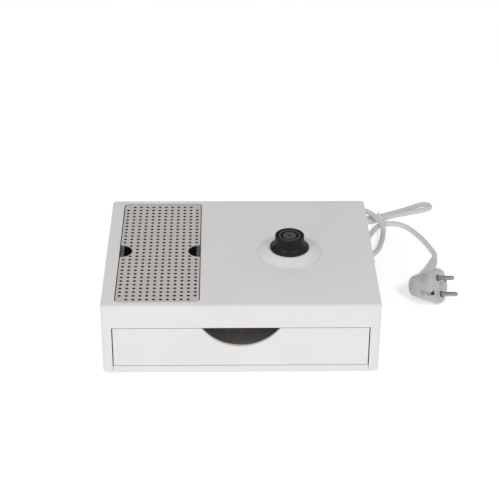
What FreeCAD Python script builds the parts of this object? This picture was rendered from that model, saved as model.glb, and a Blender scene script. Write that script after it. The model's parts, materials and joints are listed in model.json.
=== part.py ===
"""Countertop drinks tray: a moulded casing with a drawer, a drip grille and a round kettle connector.

The frame has its origin on the surface under the middle of the casing. X runs to the right as the
drawer is faced, Y to the back and Z up. All sizes are millimetres and angles are degrees.
"""
import FreeCAD, Part
import math
import os
from types import SimpleNamespace

import Sketcher

DRIVING_SIZES = {
    # casing
    "casing_width": 270.0,
    "casing_depth": 212.0,
    "casing_height": 76.0,
    "casing_wall": 2.5,
    "corner_radius": 4.5,
    "edge_radius": 2.5,
    "foot_gap": 2.0,
    "part_clearance": 0.3,
    # feet
    "foot_radius": 8.0,
    "foot_chamfer": 0.6,
    "foot_recess": 1.0,
    "foot_inset_x": 20.0,
    "foot_inset_y": 20.0,
    # base plate and the bosses that take its screws
    "base_thickness": 2.5,
    "rail_height": 7.0,
    "rail_thickness": 3.0,
    "rail_seam": 0.4,
    "boss_radius": 4.0,
    "boss_wall_offset": 3.5,
    "boss_height": 20.0,
    "boss_front_inset": 14.0,
    "partition_thickness": 2.0,
    "partition_gap": 3.0,
    # drawer
    "post_width": 10.0,
    "opening_height": 50.8,
    "drawer_side_gap": 1.1,
    "drawer_end_gap": 0.7,
    "panel_thickness": 3.0,
    "drawer_wall": 2.0,
    "drawer_back_space": 66.0,
    "drawer_box_drop": 4.2,
    "drawer_box_inset": 3.4,
    "grip_width": 76.0,
    "grip_depth": 20.8,
    "grip_relief": 1.5,
    "drawer_kept": 43.0,
    "lug_width": 22.0,
    "lug_depth": 4.0,
    "lug_spread": 50.0,
    "stop_depth": 5.0,
    "stop_clearance": 0.5,
    "runner_width": 12.0,
    "runner_spread": 95.0,
    "runner_rib": 2.4,
    "runner_clearance": 0.2,
    # floor of the service space above the drawer
    "floor_thickness": 2.0,
    "floor_gap": 1.2,
    "splash_wall": 2.0,
    "upper_boss_radius": 3.5,
    "upper_boss_inset": 52.0,
    "cable_hole_x": 70.0,
    "cable_hole_y": 75.0,
    "cable_hole_radius": 7.0,
    "grommet_lip": 1.6,
    "grommet_bore": 4.6,
    # drip tray and grille
    "grille_x": -80.75,
    "grille_width": 80.5,
    "grille_end_margin": 8.0,
    "grille_thickness": 1.2,
    "grille_drop": 1.1,
    "grille_gap": 1.0,
    "grille_corner": 4.0,
    "hole_side_margin": 3.675,
    "hole_end_margin": 5.525,
    "hole_radius": 1.6,
    "notch_radius": 12.0,
    "ledge_width": 3.0,
    "ledge_thickness": 3.8,
    "collar_wall": 2.2,
    "tray_depth": 17.5,
    "tray_sheet": 0.8,
    "tray_clearance": 0.5,
    "seat_gap": 0.1,
    # kettle connector
    "connector_x": 50.0,
    "connector_y": -5.0,
    "flange_radius": 32.2,
    "flange_rise": 5.5,
    "flange_lip": 0.7,
    "flange_wall": 2.0,
    "skirt_step": 4.3,
    "skirt_lip": 1.6,
    "skirt_rise": 8.2,
    "cover_radius": 14.7,
    "connector_height": 20.0,
    "cover_rim": 2.1,
    "stem_radius": 15.4,
    "stem_clearance": 0.3,
    "stem_drop": 12.0,
    "ridge_radius": 11.3,
    "ridge_bore": 9.3,
    "disc_radius": 6.9,
    "groove_depth": 8.0,
    "ring_height": 3.0,
    "socket_bore": 1.6,
    "socket_wall": 0.8,
    "nut_radius": 21.0,
    "nut_height": 5.0,
    "blade_width": 6.3,
    "blade_thickness": 0.8,
    "blade_drop": 6.0,
    "blade_ring": 9.5,
    # mains lead inside the casing
    "cord_radius": 3.0,
    "wire_radius": 1.2,
    "core_pitch": 1.68,
    "clamp_x": 104.0,
    "clamp_width": 8.0,
    "clamp_length": 26.0,
    "clamp_height": 5.0,
    "clamp_arch_radius": 4.8,
    "sheath_end_x": 90.0,
    "terminal_x": 66.0,
    "terminal_length": 26.0,
    "terminal_pitch": 8,
    "terminal_bore": 1.92,
    "terminal_width": 17.0,
    "terminal_height": 13.0,
    # angled strain relief on the right wall
    "relief_y": 60.0,
    "relief_z": 12.5,
    "relief_neck": 4.6,
    "relief_flange": 6.5,
    "relief_nose": 5.626,
    "relief_rim": 1.375,
    "relief_reach": 5.5,
    "relief_elbow": 5.8,
    "relief_tip": 4.2,
    "relief_length": 28.0,
    "relief_angle": 7.0,
    # screws
    "screw_radius": 1.4,
    "screw_fit": 0.1,
    "head_radius": 2.8,
    "head_height": 1.7,
    "recess_width": 0.7,
    "recess_reach": 1.68,
    "recess_depth": 1.0,
    "base_screw_length": 10.0,
    "panel_screw_length": 4.4,
    "clamp_screw_length": 9.0,
    # plug
    "plug_x": 210.3,
    "plug_y": 23.6,
    "plug_turn": -31.0,
    "plug_radius": 18.5,
    "plug_rim": 6.0,
    "plug_depth": 33.0,
    "plug_back_radius": 10.3,
    "plug_neck_reach": 38.0,
    "plug_neck_depth": 29.0,
    "plug_neck_radius": 6.4,
    "plug_relief_tip": 4.1,
    "plug_relief_reach": 61.0,
    "plug_relief_depth": 34.5,
    "pin_radius": 2.4,
    "pin_spacing": 19.0,
    "pin_length": 19.0,
    "pin_root": 8.0,
    "pin_root_radius": 2.0,
    "pin_shoulder": 0.3,
    "earth_width": 4.0,
    "earth_depth": 2.6,
    "earth_length": 15.0,
    "earth_sheet": 0.8,
}

# The free lead, as points chosen by hand along its middle. It leaves the strain relief, runs back
# on the surface, climbs over itself and enters the tied hank.
ENTRY_ROUTE = [
    (145.3, 99.1, 12.5),
    (149.6, 111.5, 7.6),
    (155.4, 125.0, 3.4),
    (160.8, 142.0, 3.2),
    (164.6, 158.5, 4.8),
    (165.2, 173.0, 10.3),
    (160.6, 186.5, 10.3),
    (155.0, 199.0, 9.4),
]
# The other end leaves the hank behind the casing, loops round and runs out to the plug.
LEAD_ROUTE = [
    (92.0, 194.0, 3.05),
    (86.0, 178.5, 3.05),
    (84.5, 161.5, 3.05),
    (88.5, 145.0, 3.05),
    (99.5, 132.0, 3.05),
    (115.5, 125.6, 3.05),
    (131.5, 130.0, 3.05),
    (142.5, 144.5, 3.05),
    (149.8, 160.5, 3.05),
    (155.8, 174.6, 3.05),
    (164.6, 185.6, 3.05),
    (178.0, 188.6, 3.05),
    (191.5, 182.0, 3.05),
    (201.5, 166.0, 3.05),
    (210.0, 147.5, 3.05),
    (214.6, 133.0, 3.2),
    (217.2, 119.5, 4.7),
    (217.8, 106.2, 8.5),
]
# Plan of the hank: an open loop to the left, a waist at the tie and a tight loop to the right.
HANK_LEFT = [(158.0, 208.0), (132.0, 223.0), (112.0, 228.0), (94.0, 222.0), (84.5, 207.0), (86.0, 194.0),
             (96.0, 184.0), (112.0, 182.0), (136.0, 186.0), (158.0, 190.0)]
HANK_RIGHT = [(168.0, 191.0), (200.0, 207.0), (226.0, 222.0), (231.0, 231.0), (226.5, 238.0), (217.0, 238.0),
              (190.0, 224.0), (164.0, 208.0)]
HANK_WAIST = (163.0, 199.0)
HANK_TURN = 24.0
WAIST_LENGTH = 15.0
WAIST_WIDTH = 18.0
HANK_HEIGHT = 12.4
TIE_WIDTH = 4.0
TIE_WALL = 0.9
ARC_SHARE = 0.45
# How far a tube's volume may be from its section times its length, and how near two places are one.
VOLUME_SHARE = 0.01
TOUCH = 1e-4
HOLE_COLUMNS = 12
HOLE_ROWS = 28
HALF_ROWS = HOLE_ROWS // 2
WIRE_STEPS = 4


class Size:
    """A length that keeps the sheet formula it comes from beside its number."""

    def __init__(self, value, formula=None):
        self.value = float(value)
        self.formula = formula if formula else f"{self.value:.6f}"

    def joined(self, sign, other, value):
        """The size made by writing the sign between this size and another."""
        return Size(value, f"({self.formula} {sign} {other.formula})")

    def __add__(self, other):
        other = as_size(other)
        return self.joined("+", other, self.value + other.value)

    def __radd__(self, other):
        return as_size(other) + self

    def __sub__(self, other):
        other = as_size(other)
        return self.joined("-", other, self.value - other.value)

    def __rsub__(self, other):
        return as_size(other) - self

    def __mul__(self, other):
        other = as_size(other)
        return self.joined("*", other, self.value * other.value)

    def __rmul__(self, other):
        return as_size(other) * self

    def __truediv__(self, other):
        other = as_size(other)
        return self.joined("/", other, self.value / other.value)

    def __neg__(self):
        return 0 - self


def as_size(value):
    """A plain number as a Size, and a Size as it is."""
    return value if isinstance(value, Size) else Size(value)


def make_sheet(doc, values):
    """Write the driving sizes into a sheet and return them as named Size values."""
    sheet = doc.addObject("Spreadsheet::Sheet", "sizes")
    for row, (alias, value) in enumerate(values.items(), start=1):
        sheet.set(f"A{row}", alias)
        sheet.set(f"B{row}", str(value))
        sheet.setAlias(f"B{row}", alias)
    doc.recompute()
    return SimpleNamespace(**{alias: Size(sheet.get(alias), f"sizes.{alias}") for alias in values})


doc = FreeCAD.newDocument("drinks_tray")
dim = make_sheet(doc, DRIVING_SIZES)
sub_parts = []

# Planes and lines that several pieces share.
side = dim.casing_width / 2
back = dim.casing_depth / 2
inner_side = side - dim.casing_wall
inner_back = back - dim.casing_wall
casing_foot = dim.foot_gap
casing_top = dim.foot_gap + dim.casing_height
ceiling = casing_top - dim.casing_wall
base_top = casing_foot + dim.base_thickness
opening_side = side - dim.post_width
opening_top = casing_foot + dim.opening_height
rail_top = casing_foot + dim.rail_height
rail_back = dim.casing_wall + dim.rail_thickness - back
drawer_foot = rail_top + dim.drawer_end_gap
drawer_top = opening_top - dim.drawer_end_gap
drawer_side = opening_side - dim.drawer_side_gap
box_side = drawer_side - dim.drawer_box_inset
box_top = drawer_top - dim.drawer_box_drop
box_front = dim.panel_thickness - back
box_back = back - dim.drawer_back_space
floor_bottom = opening_top + dim.floor_gap
floor_top = floor_bottom + dim.floor_thickness
recess_floor = casing_top - dim.grille_drop - dim.grille_thickness - dim.seat_gap - dim.tray_sheet
recess_half_x = dim.grille_width / 2 + dim.grille_gap
grille_half_y = back - dim.grille_end_margin
hole_pitch_x = (dim.grille_width - dim.hole_side_margin * 2) / (HOLE_COLUMNS - 1)
hole_pitch_y = (grille_half_y - dim.hole_end_margin) * 2 / (HOLE_ROWS - 1)
recess_half_y = grille_half_y + dim.grille_gap
well_half_x = recess_half_x - dim.ledge_width
well_half_y = recess_half_y - dim.ledge_width
collar_half_x = recess_half_x + dim.collar_wall
collar_half_y = recess_half_y + dim.collar_wall
collar_bottom = recess_floor - dim.ledge_thickness
boss_x = inner_side - dim.boss_wall_offset
boss_y = inner_back - dim.boss_front_inset
lug_front = box_back - dim.lug_depth
drawer_travel = box_back - box_front - dim.drawer_kept
stop_back = lug_front - drawer_travel - dim.stop_clearance
lug_top = floor_bottom - dim.runner_clearance * 4
lead_z = dim.relief_z
# How each wire runs: its name, its place round the cable hole, and how high it leaves the hole.
WIRES = (("neutral_wire", -90, 5), ("live_wire", 30, 8), ("earth_wire", 150, 8))
# Which way each blade stands from the connector's axis, in the same order.
BLADE_TURNS = (90, -30, 210)
BASE_BOSSES = [(x, y) for x in (-boss_x, boss_x) for y in (-boss_y, as_size(0), boss_y)]
UPPER_BOSSES = [(x, y) for x in (-boss_x, boss_x) for y in (-dim.upper_boss_inset, dim.upper_boss_inset)]


def bind(item, **properties):
    """Tie each named property of a document object to a Size; other values are set as they are."""
    for name, value in properties.items():
        if isinstance(value, Size):
            item.setExpression(name, value.formula)
        else:
            setattr(item, name, value)


def place(item, x=0, y=0, z=0, turn=None):
    """Place an object by formula, after an optional fixed rotation."""
    if turn is not None:
        item.Placement = FreeCAD.Placement(FreeCAD.Vector(), turn)
    for axis, value in zip("xyz", (x, y, z)):
        item.setExpression(f"Placement.Base.{axis}", as_size(value).formula)
    return item


def finished(item, label):
    """Give a sub-part its label and list it for output."""
    item.Label = label
    sub_parts.append(item)
    return item


# ---- sketches and features of bodies ----

def new_body(name):
    """An empty body."""
    return doc.addObject("PartDesign::Body", name)


def new_sketch(body, plane, offset=0):
    """A sketch on one of the body's own origin planes, lifted along its normal."""
    origin_plane = next(item for item in body.Origin.OriginFeatures if item.Role == plane)
    sketch = body.newObject("Sketcher::SketchObject", f"{body.Name}_sketch")
    sketch.AttachmentSupport = [(origin_plane, "")]
    sketch.MapMode = "FlatFace"
    sketch.setExpression("AttachmentOffset.Base.z", as_size(offset).formula)
    return sketch


def fix_value(sketch, constraint, value):
    """Add a constraint with a number and tie the number to a Size."""
    index = sketch.addConstraint(constraint)
    sketch.setExpression(f"Constraints[{index}]", value.formula)


def fix_point(sketch, edge, end, across, up):
    """Hold one point of an edge at a distance across and up from the sketch's origin."""
    across, up = as_size(across), as_size(up)
    fix_value(sketch, Sketcher.Constraint("DistanceX", -1, 1, edge, end, across.value), across)
    fix_value(sketch, Sketcher.Constraint("DistanceY", -1, 1, edge, end, up.value), up)


def draw_outline(sketch, corners):
    """A closed outline of straight edges through the corners."""
    corners = [(as_size(across), as_size(up)) for across, up in corners]
    points = [FreeCAD.Vector(across.value, up.value, 0) for across, up in corners]
    first = sketch.GeometryCount
    for start, end in zip(points, points[1:] + points[:1]):
        sketch.addGeometry(Part.LineSegment(start, end), False)
    for index, (across, up) in enumerate(corners):
        following = (index + 1) % len(corners)
        sketch.addConstraint(Sketcher.Constraint("Coincident", first + index, 2, first + following, 1))
        fix_point(sketch, first + index, 1, across, up)


def draw_rectangle(sketch, low_x, low_y, high_x, high_y):
    """A rectangle between two opposite corners."""
    draw_outline(sketch, [(low_x, low_y), (high_x, low_y), (high_x, high_y), (low_x, high_y)])


def draw_circle(sketch, x, y, radius):
    """A circle about a point."""
    x, y, radius = as_size(x), as_size(y), as_size(radius)
    centre = FreeCAD.Vector(x.value, y.value, 0)
    edge = sketch.addGeometry(Part.Circle(centre, FreeCAD.Vector(0, 0, 1), radius.value), False)
    fix_point(sketch, edge, 3, x, y)
    fix_value(sketch, Sketcher.Constraint("Radius", edge, radius.value), radius)


def pad(body, sketch, length, down=False):
    """Add material along the sketch's normal, or against it."""
    feature = body.newObject("PartDesign::Pad", f"{body.Name}_pad")
    feature.Profile = sketch
    bind(feature, Length=as_size(length), Reversed=down)
    return feature


def pocket(body, sketch, length, up=False):
    """Remove material against the sketch's normal, or along it."""
    feature = body.newObject("PartDesign::Pocket", f"{body.Name}_pocket")
    feature.Profile = sketch
    bind(feature, Length=as_size(length), Reversed=up)
    return feature


def revolve(body, sketch):
    """Turn a profile about the sketch's upright axis."""
    feature = body.newObject("PartDesign::Revolution", f"{body.Name}_revolution")
    feature.Profile = sketch
    feature.ReferenceAxis = (sketch, ["V_Axis"])
    feature.Angle = 360
    return feature


def turned_body(label, profile, x=0, y=0):
    """A body turned from a profile of (radius, height) corners and stood at a point of the plan."""
    body = new_body(label)
    sketch = new_sketch(body, "XZ_Plane")
    draw_outline(sketch, profile)
    revolve(body, sketch)
    place(body, x, y)
    return finished(body, label)


def round_edges(body, radius, wanted):
    """Round every edge of the body's last feature that the test wants."""
    doc.recompute()
    last = body.Tip
    names = [f"Edge{index}" for index, edge in enumerate(last.Shape.Edges, start=1) if wanted(edge)]
    feature = body.newObject("PartDesign::Fillet", f"{body.Name}_fillet")
    feature.Base = (last, names)
    bind(feature, Radius=radius)
    doc.recompute()


def upright_at(half_x, half_y, centre_x=0):
    """A test for the upright edges at the corners of a rectangle."""
    half_x, half_y, centre_x = as_size(half_x).value, as_size(half_y).value, as_size(centre_x).value

    def wanted(edge):
        box = edge.BoundBox
        upright = box.XLength < TOUCH and box.YLength < TOUCH
        at_x = abs(abs(box.Center.x - centre_x) - half_x) < TOUCH
        return upright and at_x and abs(abs(box.Center.y) - half_y) < TOUCH

    return wanted


def level_at(height):
    """A test for the edges that lie level at a height."""
    height = as_size(height).value

    def wanted(edge):
        box = edge.BoundBox
        return abs(box.ZMin - height) < TOUCH and abs(box.ZMax - height) < TOUCH

    return wanted


# ---- primitives ----

def box(name, x, y, z, length, width, height):
    """A Part box from its low corner and its three sizes."""
    item = doc.addObject("Part::Box", name)
    bind(item, Length=as_size(length), Width=as_size(width), Height=as_size(height))
    return place(item, x, y, z)


def cylinder(name, x, y, z, radius, height, turn=None):
    """A Part cylinder standing on a point, or turned to another direction."""
    item = doc.addObject("Part::Cylinder", name)
    bind(item, Radius=as_size(radius), Height=as_size(height))
    return place(item, x, y, z, turn)


def cone(name, x, y, z, base_radius, top_radius, height, turn=None):
    """A Part cone standing on a point, or turned to another direction."""
    item = doc.addObject("Part::Cone", name)
    bind(item, Radius1=as_size(base_radius), Radius2=as_size(top_radius), Height=as_size(height))
    return place(item, x, y, z, turn)


def fuse(name, shapes):
    """Several shapes as one solid."""
    item = doc.addObject("Part::MultiFuse", name)
    item.Shapes = shapes
    item.Refine = True
    return item


def cut(name, base, tools):
    """A shape with others taken out of it."""
    item = doc.addObject("Part::Cut", name)
    item.Base = base
    item.Tool = tools[0] if len(tools) == 1 else fuse(f"{name}_tools", tools)
    return item


def group(label, solids):
    """Like pieces kept as separate solids in one sub-part."""
    item = doc.addObject("Part::Compound", label)
    item.Links = solids
    return finished(item, label)


def turned(axis, angle):
    """A rotation about an axis by an angle in degrees."""
    return FreeCAD.Rotation(FreeCAD.Vector(*axis), angle)


ALONG_X = turned((0, 1, 0), 90)
ALONG_Y = turned((1, 0, 0), -90)
UPSIDE_DOWN = turned((1, 0, 0), 180)


# ---- casing ----

def make_casing():
    """The white upper moulding: top, four sides, drawer opening, grille recess and bosses."""
    body = new_body("casing")
    outline = new_sketch(body, "XY_Plane", casing_foot)
    draw_rectangle(outline, -side, -back, side, back)
    pad(body, outline, dim.casing_height)
    round_edges(body, dim.corner_radius, upright_at(side, back))
    round_edges(body, dim.edge_radius, level_at(casing_top))

    cavity = new_sketch(body, "XY_Plane", ceiling)
    draw_rectangle(cavity, -inner_side, -inner_back, inner_side, inner_back)
    pocket(body, cavity, dim.casing_height)
    round_edges(body, dim.corner_radius - dim.casing_wall, upright_at(inner_side, inner_back))

    collar = new_sketch(body, "XY_Plane", ceiling)
    draw_rectangle(collar, dim.grille_x - collar_half_x, -collar_half_y,
                   dim.grille_x + collar_half_x, collar_half_y)
    pad(body, collar, ceiling - collar_bottom, down=True)
    recess = new_sketch(body, "XY_Plane", casing_top)
    draw_rectangle(recess, dim.grille_x - recess_half_x, -recess_half_y,
                   dim.grille_x + recess_half_x, recess_half_y)
    pocket(body, recess, casing_top - recess_floor)
    recess_corner = dim.grille_corner + dim.grille_gap
    round_edges(body, recess_corner, upright_at(recess_half_x, recess_half_y, dim.grille_x))
    well = new_sketch(body, "XY_Plane", recess_floor)
    draw_rectangle(well, dim.grille_x - well_half_x, -well_half_y,
                   dim.grille_x + well_half_x, well_half_y)
    pocket(body, well, dim.ledge_thickness)
    well_corner = recess_corner - dim.ledge_width / 2
    round_edges(body, well_corner, upright_at(well_half_x, well_half_y, dim.grille_x))

    opening = new_sketch(body, "XZ_Plane", back)
    draw_rectangle(opening, -opening_side, 0, opening_side, opening_top)
    pocket(body, opening, dim.casing_wall * 2)

    stem_hole = new_sketch(body, "XY_Plane", casing_top)
    draw_circle(stem_hole, dim.connector_x, dim.connector_y, dim.stem_radius + dim.stem_clearance)
    pocket(body, stem_hole, dim.casing_wall * 2)
    relief_hole = new_sketch(body, "YZ_Plane", side)
    draw_circle(relief_hole, dim.relief_y, dim.relief_z, dim.relief_neck + dim.screw_fit)
    pocket(body, relief_hole, dim.casing_wall * 2)

    add_bosses(body, BASE_BOSSES, base_top, dim.boss_height, dim.boss_radius, dim.base_screw_length)
    add_bosses(body, UPPER_BOSSES, floor_top, ceiling - floor_top,
               dim.upper_boss_radius, dim.base_screw_length)
    finished(body, "casing")


def add_bosses(body, centres, foot, height, radius, pilot_depth):
    """Round bosses against the side walls, each with a pilot hole from below."""
    bosses = new_sketch(body, "XY_Plane", foot)
    pilots = new_sketch(body, "XY_Plane", foot)
    for x, y in centres:
        draw_circle(bosses, x, y, radius)
        draw_circle(pilots, x, y, dim.screw_radius + dim.screw_fit)
    pad(body, bosses, height)
    pocket(body, pilots, pilot_depth, up=True)


def make_base_plate():
    """The bottom plate with its front rail, screw holes, foot recesses and rear partition."""
    body = new_body("base_plate")
    plate_side = inner_side - dim.part_clearance
    plate_back = inner_back - dim.part_clearance
    outline = new_sketch(body, "XY_Plane", casing_foot)
    draw_rectangle(outline, -plate_side, -plate_back, plate_side, plate_back)
    pad(body, outline, dim.base_thickness)
    round_edges(body, dim.corner_radius - dim.casing_wall, upright_at(plate_side, plate_back))
    rail_side = opening_side - dim.rail_seam
    rail = new_sketch(body, "XY_Plane", casing_foot)
    draw_rectangle(rail, -rail_side, -back, rail_side, rail_back)
    pad(body, rail, dim.rail_height)
    partition = new_sketch(body, "XY_Plane", base_top)
    partition_front = box_back + dim.partition_gap
    draw_rectangle(partition, -plate_side, partition_front,
                   plate_side, partition_front + dim.partition_thickness)
    pad(body, partition, floor_bottom - base_top - dim.part_clearance)
    rest = new_sketch(body, "XY_Plane", base_top)
    half_length = dim.clamp_length / 2
    draw_rectangle(rest, dim.clamp_x - dim.clamp_width / 2, dim.relief_y - half_length,
                   dim.clamp_x + dim.clamp_width / 2, dim.relief_y + half_length)
    pad(body, rest, lead_z - dim.cord_radius - base_top)
    holes = new_sketch(body, "XY_Plane", base_top)
    counterbores = new_sketch(body, "XY_Plane", casing_foot)
    for x, y in BASE_BOSSES:
        draw_circle(holes, x, y, dim.screw_radius + dim.part_clearance)
        draw_circle(counterbores, x, y, dim.head_radius + dim.part_clearance)
    pocket(body, holes, dim.base_thickness)
    pocket(body, counterbores, dim.head_height / 2, up=True)
    recesses = new_sketch(body, "XY_Plane", casing_foot)
    for x, y in foot_centres():
        draw_circle(recesses, x, y, dim.foot_radius + dim.screw_fit)
    pocket(body, recesses, dim.foot_recess, up=True)
    pilots = new_sketch(body, "XY_Plane", lead_z - dim.cord_radius)
    for x, y in clamp_screw_centres():
        draw_circle(pilots, x, y, dim.screw_radius + dim.screw_fit)
    pocket(body, pilots, dim.clamp_screw_length - dim.clamp_height)
    finished(body, "base_plate")


def foot_centres():
    """Centres of the four feet."""
    x = side - dim.foot_inset_x
    y = back - dim.foot_inset_y
    return [(-x, -y), (x, -y), (-x, y), (x, y)]


def clamp_screw_centres():
    """Centres of the two cord clamp screws, one each side of the lead."""
    reach = dim.clamp_length / 2 - dim.head_radius - dim.screw_fit
    return [(dim.clamp_x, dim.relief_y - reach), (dim.clamp_x, dim.relief_y + reach)]


def make_feet():
    """Four rubber feet glued into their recesses."""
    height = dim.foot_gap + dim.foot_recess
    feet = []
    for x, y in foot_centres():
        tread = cone("foot_tread", x, y, 0,
                     dim.foot_radius - dim.foot_chamfer, dim.foot_radius, dim.foot_chamfer)
        disc = cylinder("foot_disc", x, y, dim.foot_chamfer, dim.foot_radius, height - dim.foot_chamfer)
        feet.append(fuse("foot", [tread, disc]))
    group("feet", feet)


# ---- screws ----

def make_screw(x, y, z, length, turn):
    """A pan head screw whose head rests at a point, with its shank along the turned upright axis."""
    shank = cylinder("shank", 0, 0, 0, dim.screw_radius, length)
    head = cylinder("head", 0, 0, -dim.head_height, dim.head_radius, dim.head_height)
    half_width = dim.recess_width / 2
    half_length = dim.recess_reach
    across = box("slot", -half_length, -half_width, -dim.head_height,
                 half_length * 2, dim.recess_width, dim.recess_depth)
    along = box("slot", -half_width, -half_length, -dim.head_height,
                dim.recess_width, half_length * 2, dim.recess_depth)
    return place(cut("screw", fuse("blank", [shank, head]), [across, along]), x, y, z, turn)


def make_screws():
    """The screws of the base plate, service floor, drawer front and cord clamp."""
    upright = turned((0, 0, 1), 0)
    base_head = casing_foot + dim.head_height / 2
    group("base_screws", [make_screw(x, y, base_head, dim.base_screw_length, upright)
                          for x, y in BASE_BOSSES])
    group("floor_screws", [make_screw(x, y, floor_bottom, dim.base_screw_length, upright)
                           for x, y in UPPER_BOSSES])
    forwards = turned((1, 0, 0), 90)
    group("drawer_screws", [make_screw(x, box_front + dim.drawer_wall, z, dim.panel_screw_length, forwards)
                            for x, z in panel_screw_centres()])
    clamp_top = lead_z - dim.cord_radius + dim.clamp_height
    group("clamp_screws", [make_screw(x, y, clamp_top, dim.clamp_screw_length, UPSIDE_DOWN)
                           for x, y in clamp_screw_centres()])


# ---- drawer ----

def panel_screw_centres():
    """Centres of the four screws that hold the drawer front, as (across, up)."""
    x = box_side - dim.boss_wall_offset * 4
    rise = dim.boss_radius * 2
    return [(sign * x, z) for sign in (-1, 1) for z in (drawer_foot + rise, box_top - rise)]


def grip_circle():
    """Height of the centre, and radius, of the arc of the finger grip."""
    half = dim.grip_width / 2
    radius = (half * half / dim.grip_depth + dim.grip_depth) / 2
    return drawer_top - dim.grip_depth + radius, radius


def make_drawer_front():
    """The white front panel with its crescent finger grip."""
    body = new_body("drawer_front")
    outline = new_sketch(body, "XZ_Plane", back)
    draw_rectangle(outline, -drawer_side, drawer_foot, drawer_side, drawer_top)
    pad(body, outline, dim.panel_thickness, down=True)
    centre_z, radius = grip_circle()
    grip = new_sketch(body, "XZ_Plane", back)
    draw_circle(grip, 0, centre_z, radius)
    pocket(body, grip, dim.panel_thickness)
    pilots = new_sketch(body, "XZ_Plane", -box_front)
    for x, z in panel_screw_centres():
        draw_circle(pilots, x, z, dim.screw_radius + dim.screw_fit)
    pocket(body, pilots, dim.panel_screw_length - dim.drawer_wall + dim.screw_fit, up=True)
    finished(body, "drawer_front")


def make_drawer_box():
    """The open drawer box with the grip's relief in front and two stop lugs behind."""
    body = new_body("drawer_box")
    outline = new_sketch(body, "XY_Plane", drawer_foot)
    draw_rectangle(outline, -box_side, box_front, box_side, box_back)
    pad(body, outline, box_top - drawer_foot)
    hollow = new_sketch(body, "XY_Plane", box_top)
    draw_rectangle(hollow, dim.drawer_wall - box_side, box_front + dim.drawer_wall,
                   box_side - dim.drawer_wall, box_back - dim.drawer_wall)
    pocket(body, hollow, box_top - drawer_foot - dim.drawer_wall)
    centre_z, radius = grip_circle()
    grip = new_sketch(body, "XZ_Plane", -box_front)
    draw_circle(grip, 0, centre_z, radius + dim.grip_relief)
    pocket(body, grip, dim.drawer_wall)
    lugs = new_sketch(body, "XY_Plane", box_top - dim.lug_depth)
    holes = new_sketch(body, "XZ_Plane", -box_front)
    for sign in (-1, 1):
        middle = sign * dim.lug_spread
        draw_rectangle(lugs, middle - dim.lug_width / 2, lug_front, middle + dim.lug_width / 2, box_back)
    for x, z in panel_screw_centres():
        draw_circle(holes, x, z, dim.screw_radius + dim.screw_fit)
    pad(body, lugs, lug_top - box_top + dim.lug_depth)
    pocket(body, holes, dim.drawer_wall)
    finished(body, "drawer_box")


def make_runners():
    """Two slippery strips on the base plate, each with a rib that the drawer rides on."""
    for label, sign in (("left_runner", -1), ("right_runner", 1)):
        body = new_body(label)
        profile = new_sketch(body, "XZ_Plane", -lug_front)
        top = drawer_foot - dim.runner_clearance
        step = top - dim.runner_rib / 2
        half = dim.runner_width / 2
        rib = half - dim.runner_rib
        draw_outline(profile, [(-half, base_top), (half, base_top), (half, step), (rib, top),
                               (-rib, top), (-half, step)])
        pad(body, profile, lug_front - rail_back - dim.part_clearance)
        place(body, sign * dim.runner_spread)
        finished(body, label)


# ---- service floor over the drawer ----

def make_service_floor():
    """The shelf over the drawer, with its splash wall, stop pads, boss notches and cable hole."""
    body = new_body("service_floor")
    floor_side = inner_side - dim.part_clearance
    floor_back = inner_back - dim.part_clearance
    outline = new_sketch(body, "XY_Plane", floor_bottom)
    draw_rectangle(outline, -floor_side, -floor_back, floor_side, floor_back)
    pad(body, outline, dim.floor_thickness)
    round_edges(body, dim.corner_radius - dim.casing_wall, upright_at(floor_side, floor_back))
    wall_x = dim.grille_x + collar_half_x + dim.part_clearance
    wall = new_sketch(body, "XY_Plane", floor_top)
    draw_rectangle(wall, wall_x, -floor_back, wall_x + dim.splash_wall, floor_back)
    pad(body, wall, ceiling - floor_top - dim.part_clearance)
    stops = new_sketch(body, "XY_Plane", floor_bottom)
    for sign in (-1, 1):
        middle = sign * dim.lug_spread
        draw_rectangle(stops, middle - dim.lug_width / 2, stop_back - dim.stop_depth,
                       middle + dim.lug_width / 2, stop_back)
    pad(body, stops, floor_bottom - box_top - dim.runner_clearance * 3, down=True)
    notches = new_sketch(body, "XY_Plane", floor_top)
    for x, y in BASE_BOSSES:
        draw_circle(notches, x, y, dim.boss_radius + dim.part_clearance * 2)
    pocket(body, notches, dim.floor_thickness)
    holes = new_sketch(body, "XY_Plane", floor_top)
    for x, y in UPPER_BOSSES:
        draw_circle(holes, x, y, dim.screw_radius + dim.part_clearance)
    draw_circle(holes, dim.cable_hole_x, dim.cable_hole_y, dim.cable_hole_radius)
    pocket(body, holes, dim.floor_thickness)
    finished(body, "service_floor")


def make_floor_grommet():
    """The rubber ring that lines the cable hole."""
    lip = dim.grommet_lip
    outer = dim.cable_hole_radius + lip
    turned_body("floor_grommet", [
        (dim.grommet_bore, floor_bottom - lip), (outer, floor_bottom - lip), (outer, floor_bottom),
        (dim.cable_hole_radius, floor_bottom), (dim.cable_hole_radius, floor_top), (outer, floor_top),
        (outer, floor_top + lip), (dim.grommet_bore, floor_top + lip)], dim.cable_hole_x, dim.cable_hole_y)


# ---- drip tray and grille ----

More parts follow.
